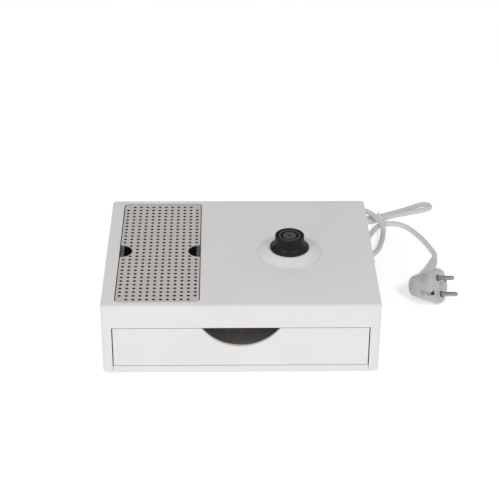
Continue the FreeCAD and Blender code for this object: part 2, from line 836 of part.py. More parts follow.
def make_drip_tray():
    """The lift-out steel pan whose flange rests on the casing's ledge."""
    body = new_body("drip_tray")
    half_x = well_half_x - dim.tray_clearance
    half_y = well_half_y - dim.tray_clearance
    flange_half_x = recess_half_x - dim.tray_clearance
    flange_half_y = recess_half_y - dim.tray_clearance
    pan = new_sketch(body, "XY_Plane", recess_floor)
    draw_rectangle(pan, -half_x, -half_y, half_x, half_y)
    pad(body, pan, dim.tray_depth, down=True)
    flange = new_sketch(body, "XY_Plane", recess_floor)
    draw_rectangle(flange, -flange_half_x, -flange_half_y, flange_half_x, flange_half_y)
    pad(body, flange, dim.tray_sheet)
    inside_x = half_x - dim.tray_sheet
    inside_y = half_y - dim.tray_sheet
    inside = new_sketch(body, "XY_Plane", recess_floor + dim.tray_sheet)
    draw_rectangle(inside, -inside_x, -inside_y, inside_x, inside_y)
    pocket(body, inside, dim.tray_depth)
    # The inner corners are rounded before the outer ones, so the thin wall is never cut through.
    corner = dim.grille_corner
    pan_bottom = recess_floor - dim.tray_depth
    round_edges(body, corner - dim.tray_sheet, upright_at(inside_x, inside_y))
    round_edges(body, corner, upright_at(half_x, half_y))
    round_edges(body, corner, upright_at(flange_half_x, flange_half_y))
    round_edges(body, corner / 2 - dim.tray_sheet, level_at(pan_bottom + dim.tray_sheet))
    round_edges(body, corner / 2, level_at(pan_bottom))
    place(body, dim.grille_x)
    finished(body, "drip_tray")


def punch_holes(body, columns, rows, first_row, top):
    """Punch the holes of some columns, given by the first one's number and how they repeat.

    Columns is (number of the first column, pitches to the next, how many columns). Rows is how
    many rows there are, counted from first_row. Columns and rows number from the grid's corner.
    """
    first_column, step, column_count = columns
    x = hole_pitch_x * (first_column - (HOLE_COLUMNS - 1) / 2)
    y = hole_pitch_y * (first_row - (HOLE_ROWS - 1) / 2)
    sketch = new_sketch(body, "XY_Plane", top)
    draw_circle(sketch, x, y, dim.hole_radius)
    hole = pocket(body, sketch, dim.grille_thickness)
    doc.recompute()
    across = body.newObject("PartDesign::LinearPattern", "across")
    bind(across, Direction=(sketch, ["H_Axis"]), Length=hole_pitch_x * (step * (column_count - 1)),
         Occurrences=column_count)
    along = body.newObject("PartDesign::LinearPattern", "along")
    bind(along, Direction=(sketch, ["V_Axis"]), Length=hole_pitch_y * (rows - 1), Occurrences=rows)
    pattern = body.newObject("PartDesign::MultiTransform", "hole_pattern")
    pattern.Originals = [hole]
    pattern.Transformations = [across, along]
    body.Tip = pattern
    doc.recompute()


def make_drip_grille():
    """The punched steel sheet with rounded corners and a finger notch in each long edge."""
    body = new_body("drip_grille")
    half_x = dim.grille_width / 2
    half_y = grille_half_y
    top = casing_top - dim.grille_drop
    outline = new_sketch(body, "XY_Plane", top)
    draw_rectangle(outline, -half_x, -half_y, half_x, half_y)
    pad(body, outline, dim.grille_thickness, down=True)
    round_edges(body, dim.grille_corner, upright_at(half_x, half_y))
    notches = new_sketch(body, "XY_Plane", top)
    for sign in (-1, 1):
        draw_circle(notches, sign * half_x, 0, dim.notch_radius)
    pocket(body, notches, dim.grille_thickness)
    # The corners have no hole, and the middle rows leave room for the finger notches.
    punch_holes(body, (2, 1, HOLE_COLUMNS - 4), HOLE_ROWS, 0, top)
    for first_row in (0, HALF_ROWS + 1):
        punch_holes(body, (1, HOLE_COLUMNS - 3, 2), HALF_ROWS - 1, first_row, top)
    for first_row in (1, HALF_ROWS + 2):
        punch_holes(body, (0, HOLE_COLUMNS - 1, 2), HALF_ROWS - 3, first_row, top)
    place(body, dim.grille_x)
    finished(body, "drip_grille")


# ---- kettle connector ----

flange_top = casing_top + dim.flange_rise
connector_top = casing_top + dim.connector_height
cover_bore = dim.cover_radius - dim.cover_rim
skirt_radius = dim.stem_radius + dim.skirt_step
groove_floor = connector_top - dim.groove_depth


def at_connector(label, profile):
    """A turned body on the connector's axis."""
    return turned_body(label, profile, dim.connector_x, dim.connector_y)


def make_connector():
    """The round connector: collar, cover, insulator, contact rings, centre socket, nut and blades."""
    stem_bore = dim.stem_radius + dim.stem_clearance
    lip_top = casing_top + dim.flange_lip
    skirt_foot = flange_top + dim.seat_gap
    skirt_bend = skirt_foot + dim.skirt_lip
    skirt_top = skirt_foot + dim.skirt_rise
    at_connector("connector_collar", [
        (dim.flange_radius, casing_top), (dim.flange_radius, lip_top), (skirt_radius, flange_top),
        (stem_bore, flange_top), (stem_bore, flange_top - dim.flange_wall),
        (skirt_radius - dim.flange_wall, flange_top - dim.flange_wall),
        (dim.flange_radius - dim.flange_wall * 2, casing_top)])
    shoulder = (skirt_radius + dim.cover_radius) / 2
    at_connector("connector_cover", [
        (cover_bore, skirt_foot), (skirt_radius, skirt_foot), (skirt_radius, skirt_bend),
        (shoulder + dim.skirt_lip / 2, (skirt_bend + skirt_top) / 2), (dim.cover_radius, skirt_top),
        (dim.cover_radius, connector_top), (cover_bore, connector_top)])
    stem_foot = ceiling - dim.stem_drop
    core_radius = cover_bore - dim.seat_gap
    ring_gap = dim.seat_gap
    socket_outer = dim.socket_bore + dim.socket_wall
    at_connector("connector_core", [
        (socket_outer + ring_gap, stem_foot), (dim.stem_radius, stem_foot), (dim.stem_radius, flange_top),
        (core_radius, flange_top), (core_radius, groove_floor), (dim.ridge_radius, groove_floor),
        (dim.ridge_radius, connector_top - dim.seat_gap), (dim.ridge_bore, connector_top - dim.seat_gap),
        (dim.ridge_bore, groove_floor), (dim.disc_radius, groove_floor),
        (dim.disc_radius, connector_top - dim.seat_gap * 3),
        (dim.socket_bore, connector_top - dim.seat_gap * 3),
        (dim.socket_bore, connector_top - dim.ring_height),
        (socket_outer + ring_gap, connector_top - dim.ring_height)])
    ring_top = groove_floor + dim.ring_height
    at_connector("outer_contact_ring", [
        (dim.ridge_radius + ring_gap, groove_floor), (core_radius, groove_floor),
        (core_radius, ring_top), (dim.ridge_radius + ring_gap, ring_top)])
    at_connector("inner_contact_ring", [
        (dim.disc_radius + ring_gap, groove_floor), (dim.ridge_bore - ring_gap, groove_floor),
        (dim.ridge_bore - ring_gap, ring_top), (dim.disc_radius + ring_gap, ring_top)])
    at_connector("centre_contact", [
        (dim.socket_bore, stem_foot), (socket_outer, stem_foot),
        (socket_outer, connector_top - dim.ring_height), (dim.socket_bore, connector_top - dim.ring_height)])
    at_connector("connector_nut", [
        (dim.stem_radius + ring_gap, ceiling - dim.nut_height),
        (dim.nut_radius - dim.flange_wall, ceiling - dim.nut_height),
        (dim.nut_radius, ceiling - dim.nut_height + dim.flange_wall), (dim.nut_radius, ceiling),
        (dim.stem_radius + ring_gap, ceiling)])
    group("connector_blades", [
        box("blade", x - dim.blade_width / 2, y - dim.blade_thickness / 2, stem_foot - dim.blade_drop,
            dim.blade_width, dim.blade_thickness, dim.blade_drop) for x, y in blade_centres()])


def blade_centres():
    """Centres of the three terminal blades, spread round the connector's axis."""
    return [(dim.connector_x + dim.blade_ring * math.cos(math.radians(turn)),
             dim.connector_y + dim.blade_ring * math.sin(math.radians(turn))) for turn in BLADE_TURNS]


# ---- mains lead inside the casing ----

def vector(x, y, z):
    """A vector of plain numbers from sizes or numbers."""
    return FreeCAD.Vector(as_size(x).value, as_size(y).value, as_size(z).value)


def rounded_path(points):
    """A wire of straight runs joined by tangent arcs, and the radii of its arcs."""
    edges = []
    radii = []
    start = points[0]
    for before, corner, after in zip(points, points[1:], points[2:]):
        inward = (before - corner).normalize()
        outward = (after - corner).normalize()
        turn = math.pi - inward.getAngle(outward)
        cut_back = ARC_SHARE * min((before - corner).Length, (after - corner).Length)
        radius = cut_back / math.tan(turn / 2)
        radii.append(radius)
        first = corner + inward * cut_back
        last = corner + outward * cut_back
        middle_way = (inward + outward).normalize()
        middle = corner + middle_way * (radius / math.cos(turn / 2) - radius)
        edges.append(Part.LineSegment(start, first).toShape())
        edges.append(Part.Arc(first, middle, last).toShape())
        start = last
    edges.append(Part.LineSegment(start, points[-1]).toShape())
    return Part.Wire(edges), radii


def tube(points, radius):
    """A round solid along a rounded path, with the path's length and the radii of its arcs."""
    points = [vector(*point) for point in points]
    radius = as_size(radius).value
    path, radii = rounded_path(points)
    ring = Part.Wire(Part.Circle(points[0], points[1] - points[0], radius).toShape())
    solid = path.makePipeShell([ring], True, False)
    expected = math.pi * radius * radius * path.Length
    if abs(solid.Volume - expected) > expected * VOLUME_SHARE:
        raise ValueError(f"a tube holds {solid.Volume:.1f} mm3 where {expected:.1f} mm3 was expected")
    return solid, path.Length, radii


def shaped(label, shape):
    """A sub-part whose shape is made by Part's own functions."""
    item = doc.addObject("Part::Feature", label)
    item.Shape = shape
    item.Placement = FreeCAD.Placement()
    return finished(item, label)


def make_inner_lead():
    """The sheathed lead inside the casing, its clamp, the terminal block and all the wires."""
    inner_end = inner_side - dim.casing_wall
    sheath = cylinder("inner_lead", dim.sheath_end_x, dim.relief_y, lead_z, dim.cord_radius,
                      inner_end - dim.sheath_end_x, ALONG_X)
    finished(sheath, "inner_lead")

    rest_top = lead_z - dim.cord_radius
    low_x = dim.clamp_x - dim.clamp_width / 2
    bar = box("clamp_bar", low_x, dim.relief_y - dim.clamp_length / 2, rest_top,
              dim.clamp_width, dim.clamp_length, dim.clamp_height)
    channel = cylinder("clamp_channel", low_x, dim.relief_y, lead_z,
                       dim.cord_radius, dim.clamp_width, ALONG_X)
    slot = box("clamp_slot", low_x, dim.relief_y - dim.cord_radius, rest_top,
               dim.clamp_width, dim.cord_radius * 2, dim.cord_radius)
    holes = [cylinder("clamp_hole", x, y, rest_top, dim.screw_radius + dim.screw_fit, dim.clamp_height)
             for x, y in clamp_screw_centres()]
    arch = cylinder("clamp_arch", low_x, dim.relief_y, lead_z,
                    dim.clamp_arch_radius, dim.clamp_width, ALONG_X)
    foot_trim = box("clamp_trim", low_x, dim.relief_y - dim.clamp_length / 2, rest_top - dim.clamp_height,
                    dim.clamp_width, dim.clamp_length, dim.clamp_height)
    blank = fuse("clamp_blank", [bar, arch])
    finished(cut("cord_clamp", blank, [channel, slot, foot_trim] + holes), "cord_clamp")

    block_x = dim.terminal_x - dim.terminal_width / 2
    block = box("terminal_blank", block_x, dim.relief_y - dim.terminal_length / 2, base_top,
                dim.terminal_width, dim.terminal_length, dim.terminal_height)
    entries = [cylinder("terminal_entry", dim.terminal_x, y, base_top,
                        dim.terminal_bore, dim.terminal_height)
               for y in core_rows()]
    finished(cut("terminal_block", block, entries), "terminal_block")
    block_side = block_x + dim.terminal_width
    cores = []
    for row, y in enumerate(core_rows()):
        exit_y = dim.relief_y + (row - 1) * dim.core_pitch
        run = (dim.sheath_end_x - block_side) / 3
        points = [(dim.sheath_end_x, exit_y, lead_z), (block_side + run * 2, exit_y, lead_z),
                  (block_side + run, y, lead_z), (block_side, y, lead_z)]
        solid = tube(points, dim.wire_radius)[0] if row != 1 else straight_core(points)
        cores.append(solid)
    shaped("lead_cores", Part.makeCompound(cores))
    for wire, y, blade in zip(WIRES, core_rows(), blade_centres()):
        make_wire(wire, y, blade)


def make_wire(wire, row_y, blade):
    """One wire from the terminal block, up through the cable hole and over to its blade."""
    label, turn, lift = wire
    ring = dim.grommet_bore - dim.wire_radius - dim.wire_radius / 2
    hole_x = dim.cable_hole_x + ring * math.cos(math.radians(turn))
    hole_y = dim.cable_hole_y + ring * math.sin(math.radians(turn))
    block_top = base_top + dim.terminal_height
    level = floor_top + dim.grommet_lip + dim.wire_radius * lift
    blade_x, blade_y = blade
    blade_z = ceiling - dim.stem_drop - dim.blade_drop / 2
    rise = (floor_bottom - block_top) / WIRE_STEPS
    shaped(label, tube([
        (dim.terminal_x, row_y, block_top), (dim.terminal_x, row_y, block_top + rise),
        (hole_x, hole_y, floor_bottom - rise), (hole_x, hole_y, level),
        (hole_x * 0.8 + blade_x * 0.2, hole_y * 0.8 + blade_y * 0.2, level),
        (blade_x, hole_y * 0.2 + blade_y * 0.8, blade_z),
        (blade_x, blade_y + dim.blade_thickness / 2, blade_z)], dim.wire_radius)[0])


def straight_core(points):
    """The middle core, which runs straight from the sheath to the block."""
    start, end = vector(*points[0]), vector(*points[-1])
    return Part.makeCylinder(dim.wire_radius.value, (end - start).Length, start, end - start)


def core_rows():
    """Where the three ways of the terminal block lie across it."""
    pitch = dim.terminal_pitch
    return [dim.relief_y + pitch * row for row in (-1, 0, 1)]


# ---- strain relief, free lead and plug ----

def relief_direction():
    """The level direction of the strain relief's nose."""
    angle = math.radians(dim.relief_angle.value)
    return FreeCAD.Vector(math.sin(angle), math.cos(angle), 0)


def make_cord_relief():
    """The right-angled rubber strain relief: neck, two flanges, elbow and tapering nose."""
    inner_end = inner_side - dim.casing_wall
    elbow_x = side + dim.relief_reach
    y, z = dim.relief_y, dim.relief_z
    neck = cylinder("relief_neck", inner_end, y, z, dim.relief_neck, elbow_x - inner_end, ALONG_X)
    inner_flange = cylinder("relief_inner", inner_end, y, z,
                            dim.relief_flange, inner_side - inner_end, ALONG_X)
    outer_flange = cylinder("relief_outer", side, y, z, dim.relief_flange, dim.relief_rim, ALONG_X)
    elbow = doc.addObject("Part::Sphere", "relief_elbow")
    bind(elbow, Radius=dim.relief_elbow)
    place(elbow, elbow_x, y, z)
    along_nose = turned((0, 0, 1), -dim.relief_angle.value).multiply(ALONG_Y)
    nose = cone("relief_nose", elbow_x, y, z,
                dim.relief_nose, dim.relief_tip, dim.relief_length, along_nose)
    finished(fuse("cord_relief", [neck, inner_flange, outer_flange, elbow, nose]), "cord_relief")


def plug_frame():
    """The plug's placement: its pins along local Z, its lead towards local Y, leaning on its rim."""
    rise = plug_lean()
    level = math.radians(dim.plug_turn.value)
    pins = FreeCAD.Vector(math.cos(rise) * math.cos(level), math.cos(rise) * math.sin(level), math.sin(rise))
    lead = FreeCAD.Vector(-math.sin(level), math.cos(level), 0)
    down = lead.cross(pins)
    rotation = FreeCAD.Rotation(down, lead, pins, "ZXY")
    height = dim.plug_radius.value * math.cos(rise) + dim.plug_rim.value * math.sin(rise)
    return FreeCAD.Placement(vector(dim.plug_x, dim.plug_y, height), rotation)


def plug_lean():
    """How far the pins rise when the plug lies on its rim and its back, in radians."""
    drop = dim.plug_radius.value - dim.plug_back_radius.value
    return math.atan(drop / (dim.plug_depth.value - dim.plug_rim.value))


def make_plug():
    """The earthed mains plug: moulded body, two pins, two earth strips and a strain relief."""
    frame = plug_frame()
    neck = FreeCAD.Vector(0, dim.plug_neck_reach.value, -dim.plug_neck_depth.value)
    tip = FreeCAD.Vector(0, dim.plug_relief_reach.value, -dim.plug_relief_depth.value)
    root = neck - (tip - neck) * (neck.y / (tip.y - neck.y))
    along = FreeCAD.Rotation(FreeCAD.Vector(0, 0, 1), tip - neck)

    rim = cylinder("plug_rim", 0, 0, -dim.plug_rim, dim.plug_radius, dim.plug_rim)
    taper = cone("plug_taper", 0, 0, -dim.plug_depth,
                 dim.plug_back_radius, dim.plug_radius, dim.plug_depth - dim.plug_rim)
    shoulder = cone("plug_shoulder", 0, 0, 0,
                    dim.plug_back_radius, dim.plug_neck_radius, (neck - root).Length)
    place(shoulder, root.x, root.y, root.z, along)
    pin_holes = [cylinder("pin_hole", sign * dim.pin_spacing / 2, 0, -dim.pin_root,
                          dim.pin_root_radius, dim.pin_root)
                 for sign in (-1, 1)]
    slot_floor = dim.plug_radius - dim.earth_depth
    slots = [box("earth_slot", -dim.earth_width / 2, low_y, -dim.earth_length,
                 dim.earth_width, dim.plug_radius, dim.earth_length)
             for low_y in (-slot_floor - dim.plug_radius, slot_floor)]
    body = cut("plug_body", fuse("plug_blank", [rim, taper, shoulder]), pin_holes + slots)
    body.Placement = frame
    finished(body, "plug_body")

    pins = []
    for sign in (-1, 1):
        x = sign * dim.pin_spacing / 2
        root_length = dim.pin_root + dim.pin_shoulder
        held = cylinder("pin_held", x, 0, -dim.pin_root, dim.pin_root_radius, root_length)
        shaft_length = dim.pin_length - dim.pin_radius - dim.pin_shoulder
        shaft = cylinder("pin_shaft", x, 0, dim.pin_shoulder, dim.pin_radius, shaft_length)
        end = doc.addObject("Part::Sphere", "pin_end")
        bind(end, Radius=dim.pin_radius)
        place(end, x, 0, dim.pin_length - dim.pin_radius)
        pins.append(fuse("pin", [held, shaft, end]))
    group("plug_pins", pins).Placement = frame
    strips = [box("earth_strip", dim.seat_gap - dim.earth_width / 2, low_y, dim.seat_gap - dim.earth_length,
                  dim.earth_width - dim.seat_gap * 2, dim.earth_sheet, dim.earth_length - dim.seat_gap * 2)
              for low_y in (-slot_floor - dim.earth_sheet, slot_floor)]
    group("plug_earth_strips", strips).Placement = frame

    nose = doc.addObject("Part::Cone", "plug_relief")
    bind(nose, Radius1=dim.plug_neck_radius, Radius2=dim.plug_relief_tip, Height=(tip - neck).Length)
    nose.Placement = frame.multiply(FreeCAD.Placement(neck, along))
    finished(nose, "plug_relief")
    return frame.multVec(tip)


def prism(corners, height):
    """An upright solid from the surface up, over an outline."""
    points = [FreeCAD.Vector(x, y, 0) for x, y in corners]
    outline = Part.makePolygon(points + points[:1])
    return Part.Face(outline).extrude(FreeCAD.Vector(0, 0, height))


def hank_block(length, width, height):
    """A box across the hank's waist, lying along the waist's direction."""
    turn = turned((0, 0, 1), HANK_TURN)
    block = Part.makeBox(length, width, height, FreeCAD.Vector(-length / 2, -width / 2, 0))
    block.Placement = FreeCAD.Placement(FreeCAD.Vector(*HANK_WAIST, 0), turn)
    return block


def make_free_lead(plug_exit):
    """The lead outside the casing: two loose stretches, the tied hank between them and its tie."""
    elbow = vector(side + dim.relief_reach, dim.relief_y, dim.relief_z)
    cord_exit = elbow + relief_direction() * dim.relief_length.value
    for label, route in (("cord_entry", [tuple(cord_exit)] + ENTRY_ROUTE),
                         ("cord_lead", LEAD_ROUTE + [tuple(plug_exit)])):
        solid, length, radii = tube(route, dim.cord_radius)
        shaped(label, solid)
        print(label, f"is {length:.1f} mm long, with arc radii", [round(radius, 1) for radius in radii])
    waist = hank_block(WAIST_LENGTH, WAIST_WIDTH, HANK_HEIGHT)
    hank = waist.multiFuse([prism(HANK_LEFT, HANK_HEIGHT), prism(HANK_RIGHT, HANK_HEIGHT)]).removeSplitter()
    band = hank_block(TIE_WIDTH, WAIST_WIDTH + 2 * TIE_WALL, HANK_HEIGHT + TIE_WALL)
    shaped("cord_hank", hank)
    shaped("cord_tie", band.cut(hank))


# ---- checks and output ----

def check_model():
    """Stop if any object failed, or any sub-part is missing, invalid or in no solid."""
    doc.recompute()
    for item in doc.Objects:
        if "Invalid" in item.State or "Error" in item.State:
            raise RuntimeError(f"{item.Label} failed: {item.State}")
    for item in sub_parts:
        shape = item.Shape
        if shape.isNull() or not shape.isValid() or not shape.Solids:
            raise RuntimeError(f"{item.Label} has no valid solid")


def write_parts():
    """Write each sub-part to its own file."""
    os.makedirs("parts", exist_ok=True)
    for item in sub_parts:
        item.Shape.exportStep(f"parts/{item.Label}.step")
        print(f"{item.Label}: {len(item.Shape.Solids)} solids, {item.Shape.Volume:.0f} mm3")


make_casing()
make_base_plate()
make_feet()
make_drawer_front()
make_drawer_box()
make_runners()
make_service_floor()
make_floor_grommet()
make_drip_tray()
make_drip_grille()
make_connector()
make_inner_lead()
make_cord_relief()
make_free_lead(make_plug())
make_screws()
check_model()
write_parts()
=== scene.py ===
"""Looks of a countertop drinks tray: finishes, soft-edged mouldings, the mains lead and a studio.

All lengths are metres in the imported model's own frame: X to the right as the drawer is faced, Y to
the back and Z up, with the origin on the surface under the middle of the casing.
"""
import json
import logging
import math
from dataclasses import dataclass
from enum import Enum

import bpy
from mathutils import Matrix, Vector


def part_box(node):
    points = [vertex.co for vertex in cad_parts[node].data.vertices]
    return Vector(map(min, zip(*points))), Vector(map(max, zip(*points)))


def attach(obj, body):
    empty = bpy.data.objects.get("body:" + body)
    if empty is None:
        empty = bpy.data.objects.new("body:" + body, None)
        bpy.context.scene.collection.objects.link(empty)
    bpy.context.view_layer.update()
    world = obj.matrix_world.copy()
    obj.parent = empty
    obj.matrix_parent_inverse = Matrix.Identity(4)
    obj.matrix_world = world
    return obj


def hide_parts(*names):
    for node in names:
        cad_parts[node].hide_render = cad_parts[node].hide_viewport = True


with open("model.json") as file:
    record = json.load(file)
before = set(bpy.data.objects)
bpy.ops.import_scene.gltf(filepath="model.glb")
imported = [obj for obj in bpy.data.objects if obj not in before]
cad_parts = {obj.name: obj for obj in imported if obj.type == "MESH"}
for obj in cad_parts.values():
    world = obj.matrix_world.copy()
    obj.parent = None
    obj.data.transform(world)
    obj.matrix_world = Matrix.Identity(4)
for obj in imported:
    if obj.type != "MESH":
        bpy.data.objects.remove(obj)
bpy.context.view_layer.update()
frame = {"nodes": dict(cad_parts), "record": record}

MM = 0.001
FULL_TURN = 2 * math.pi
# Degrees past the rounded angle up to which a softened piece is still shaded smooth.
SMOOTH_MARGIN = 10
ROOT_BODY = "housing"

Colour = tuple[float, float, float]
Point = tuple[float, float, float]
Outline = tuple[tuple[float, float], ...]
log = logging.getLogger("tray")


# ---- shader bench ----

class Wire:
    """A socket that can be used in Python sums, each adding one Math node."""

    def __init__(self, bench: "ShaderBench", socket: bpy.types.NodeSocket) -> None:
        """Hold the socket and the bench it belongs to."""
        self.bench = bench
        self.socket = socket

    def _sum(self, operation: str, first: object, second: object) -> "Wire":
        """Add a Math node.

        Args:
            operation: the Math node's operation.
            first: its first value or wire.
            second: its second value or wire.

        Returns:
            The result as a wire.
        """
        made = self.bench.node("ShaderNodeMath", {"operation": operation}, {0: first, 1: second})
        return Wire(self.bench, made.outputs[0])

    def __add__(self, other: object) -> "Wire":
        """Sum of this and another value."""
        return self._sum("ADD", self, other)

    __radd__ = __add__

    def __sub__(self, other: object) -> "Wire":
        """Difference, this less the other."""
        return self._sum("SUBTRACT", self, other)

    def __rsub__(self, other: object) -> "Wire":
        """Difference, the other less this."""
        return self._sum("SUBTRACT", other, self)

    def __mul__(self, other: object) -> "Wire":
        """Product of this and another value."""
        return self._sum("MULTIPLY", self, other)

    __rmul__ = __mul__


class ShaderBench:
    """Builds the node tree of one material round its Principled shader."""

    def __init__(self, name: str) -> None:
        """Make the material.

        Args:
            name: the material's name.
        """
        self.material = bpy.data.materials.new(name)
        self.material.use_nodes = True
        self.tree = self.material.node_tree
        self.shader = next(n for n in self.tree.nodes if n.type == "BSDF_PRINCIPLED")

    def node(self, kind: str, settings: dict, sockets: dict) -> bpy.types.Node:
        """Add a node.

        Args:
            kind: the node's type.
            settings: its properties, set first; "stops" fills a ramp.
            sockets: values, wires or sockets for its inputs, by name or place.

        Returns:
            The new node.
        """
        made = self.tree.nodes.new(kind)
        for key, value in settings.items():
            if key == "stops":
                self._fill_ramp(made.color_ramp, value)
            else:
                setattr(made, key, value)
        for key, value in sockets.items():
            self.feed(made.inputs[key], value)
        return made

    def _fill_ramp(self, ramp: bpy.types.ColorRamp, stops: list[tuple[float, float]]) -> None:
        """Set a ramp's grey stops.

        Args:
            ramp: the ramp.
            stops: the stops, as (place, value).
        """
        while len(ramp.elements) < len(stops):
            ramp.elements.new(0.5)
        for element, (place, value) in zip(ramp.elements, stops):
            element.position = place
            element.color = (value, value, value, 1.0)

    def feed(self, socket: bpy.types.NodeSocket, value: object) -> None:
        """Link a wire or socket to an input, or set the input's own value.

        Args:
            socket: the input.
            value: a wire, a socket, a colour or a number.
        """
        if isinstance(value, Wire):
            value = value.socket
        if isinstance(value, bpy.types.NodeSocket):
            self.tree.links.new(value, socket)
        elif isinstance(value, tuple) and len(value) == 3 and socket.type == "RGBA":
            socket.default_value = (*value, 1.0)
        else:
            socket.default_value = value

    def place(self, scale: Point = (1.0, 1.0, 1.0)) -> bpy.types.NodeSocket:
        """Object coordinates, stretched."""
        spot = self.node("ShaderNodeTexCoord", {}, {}).outputs["Object"]
        return self.node("ShaderNodeMapping", {}, {"Vector": spot, "Scale": scale}).outputs[0]

    def noise(self, scale: float, detail: float = 3.0, stretch: Point = (1.0, 1.0, 1.0),
              roughness: float = 0.5) -> Wire:
        """Noise over the piece.

        Args:
            scale: cells to a metre.
            detail: octaves.
            stretch: the coordinates' scale along each axis.
            roughness: how much each finer octave counts.

        Returns:
            The noise, from 0 to 1.
        """
        made = self.node("ShaderNodeTexNoise", {}, {"Vector": self.place(stretch), "Scale": scale,
                                                    "Detail": detail, "Roughness": roughness})
        return Wire(self, made.outputs[0])

    def ramp(self, value: Wire, stops: list[tuple[float, float]]) -> Wire:
        """A value passed through grey stops."""
        return Wire(self, self.node("ShaderNodeValToRGB", {"stops": stops}, {"Fac": value}).outputs["Color"])

    def blend(self, share: object, first: object, second: object) -> bpy.types.NodeSocket:
        """Two colours mixed by a share."""
        made = self.node("ShaderNodeMix", {"data_type": "RGBA"}, {0: share, 6: first, 7: second})
        return made.outputs[2]

    def relief(self, height: Wire, depth: float) -> None:
        """Raise the surface by a height field, with its full depth in metres."""
        bump = self.node("ShaderNodeBump", {}, {"Height": height, "Strength": 1.0, "Distance": depth})
        self.feed(self.shader.inputs["Normal"], bump.outputs[0])

    def finish(self, **sockets: object) -> bpy.types.Material:
        """Set the Principled shader's inputs, with underscores for spaces, and give the material."""
        for key, value in sockets.items():
            self.feed(self.shader.inputs[key.replace("_", " ")], value)
        return self.material


# ---- finishes ----

def shade(colour: Colour, factor: float) -> Colour:
    """A colour made darker or lighter."""
    return tuple(min(1.0, part * factor) for part in colour)


@dataclass(frozen=True)
class Moulded:
    """Moulded plastic: fine spark-eroded grain, faint flow clouding and rubbed patches."""

    name: str
    colour: Colour
    roughness: float
    grain: float = 2600.0
    grain_depth: float = 12e-6
    cloud: float = 0.035
    coat: float = 0.0
    gloss: float = 0.5
    cloud_scale: float = 14.0
    rub_scale: float = 38.0
    speck_haze: float = 0.08
    rub_polish: float = 0.05
    coat_haze: float = 0.18

    def build(self) -> bpy.types.Material:
        """Make the material."""
        bench = ShaderBench(self.name)
        clouds = bench.noise(self.cloud_scale, 4.0)
        specks = bench.noise(self.grain, 2.0)
        rubbed = bench.ramp(bench.noise(self.rub_scale, 5.0), [(0.42, 0.0), (0.68, 1.0)])
        bench.relief(specks, self.grain_depth)
        share = bench.ramp(clouds, [(0.3, 0.0), (0.7, 1.0)])
        return bench.finish(
            Base_Color=bench.blend(share, shade(self.colour, 1 - self.cloud), self.colour),
            Roughness=self.roughness + specks * self.speck_haze - rubbed * self.rub_polish,
            Coat_Weight=self.coat, Coat_Roughness=self.coat_haze, Specular_IOR_Level=self.gloss)


class Brush(Enum):
    """The way a brushed sheet's fine scratches run."""

    LENGTHWISE = (1.0, 0.012, 1.0)
    CROSSWISE = (0.012, 1.0, 1.0)


@dataclass(frozen=True)
class BrushedSheet:
    """Brushed sheet steel: long fine scratches, a few deeper ones and faint water marks."""

    name: str
    colour: Colour
    roughness: float
    brush: Brush = Brush.LENGTHWISE
    fine_scale: float = 3800.0
    deep_scale: float = 900.0
    mark_scale: float = 30.0
    scratch_depth: float = 9e-6
    fine_haze: float = 0.14
    mark_haze: float = 0.06

    def build(self) -> bpy.types.Material:
        """Make the material."""
        bench = ShaderBench(self.name)
        fine = bench.noise(self.fine_scale, 3.0, self.brush.value, 0.6)
        deep = bench.ramp(bench.noise(self.deep_scale, 2.0, self.brush.value), [(0.60, 0.0), (0.72, 1.0)])
        marks = bench.ramp(bench.noise(self.mark_scale, 4.0), [(0.45, 0.0), (0.65, 1.0)])
        bench.relief(fine + deep * 0.6, self.scratch_depth)
        streaks = bench.blend(fine, shade(self.colour, 0.86), shade(self.colour, 1.12))
        return bench.finish(
            Base_Color=bench.blend(marks * 0.35, streaks, shade(self.colour, 0.9)),
            Metallic=1.0,
            Roughness=self.roughness + fine * self.fine_haze + marks * self.mark_haze)


@dataclass(frozen=True)
class Plated:
    """Plated or rolled metal: small dings, dulled patches and faint colour drift."""

    name: str
    colour: Colour
    roughness: float
    drift_scale: float = 120.0
    ding_scale: float = 2400.0
    ding_depth: float = 6e-6
    dull_haze: float = 0.15

    def build(self) -> bpy.types.Material:
        """Make the material."""
        bench = ShaderBench(self.name)
        drift = bench.noise(self.drift_scale, 4.0)
        fine = bench.noise(self.ding_scale, 2.0)
        dull = bench.ramp(drift, [(0.4, 0.0), (0.65, 1.0)])
        bench.relief(fine, self.ding_depth)
        return bench.finish(Base_Color=bench.blend(dull, self.colour, shade(self.colour, 0.78)),
                            Metallic=1.0, Roughness=self.roughness + dull * self.dull_haze)


@dataclass(frozen=True)
class Soft:
    """Rubber or a flexible sheath: matt, with fine pores and a dusty bloom."""

    name: str
    colour: Colour
    roughness: float
    pores: float = 1500.0
    pore_depth: float = 14e-6
    bloom_scale: float = 60.0
    pore_haze: float = 0.1

    def build(self) -> bpy.types.Material:
        """Make the material."""
        bench = ShaderBench(self.name)
        bloom = bench.ramp(bench.noise(self.bloom_scale, 4.0), [(0.4, 0.0), (0.7, 1.0)])
        pores = bench.noise(self.pores, 3.0)
        bench.relief(pores, self.pore_depth)
        return bench.finish(Base_Color=bench.blend(bloom, self.colour, shade(self.colour, 1.06)),
                            Roughness=self.roughness + pores * self.pore_haze,
                            Sheen_Weight=0.12, Sheen_Roughness=0.5)


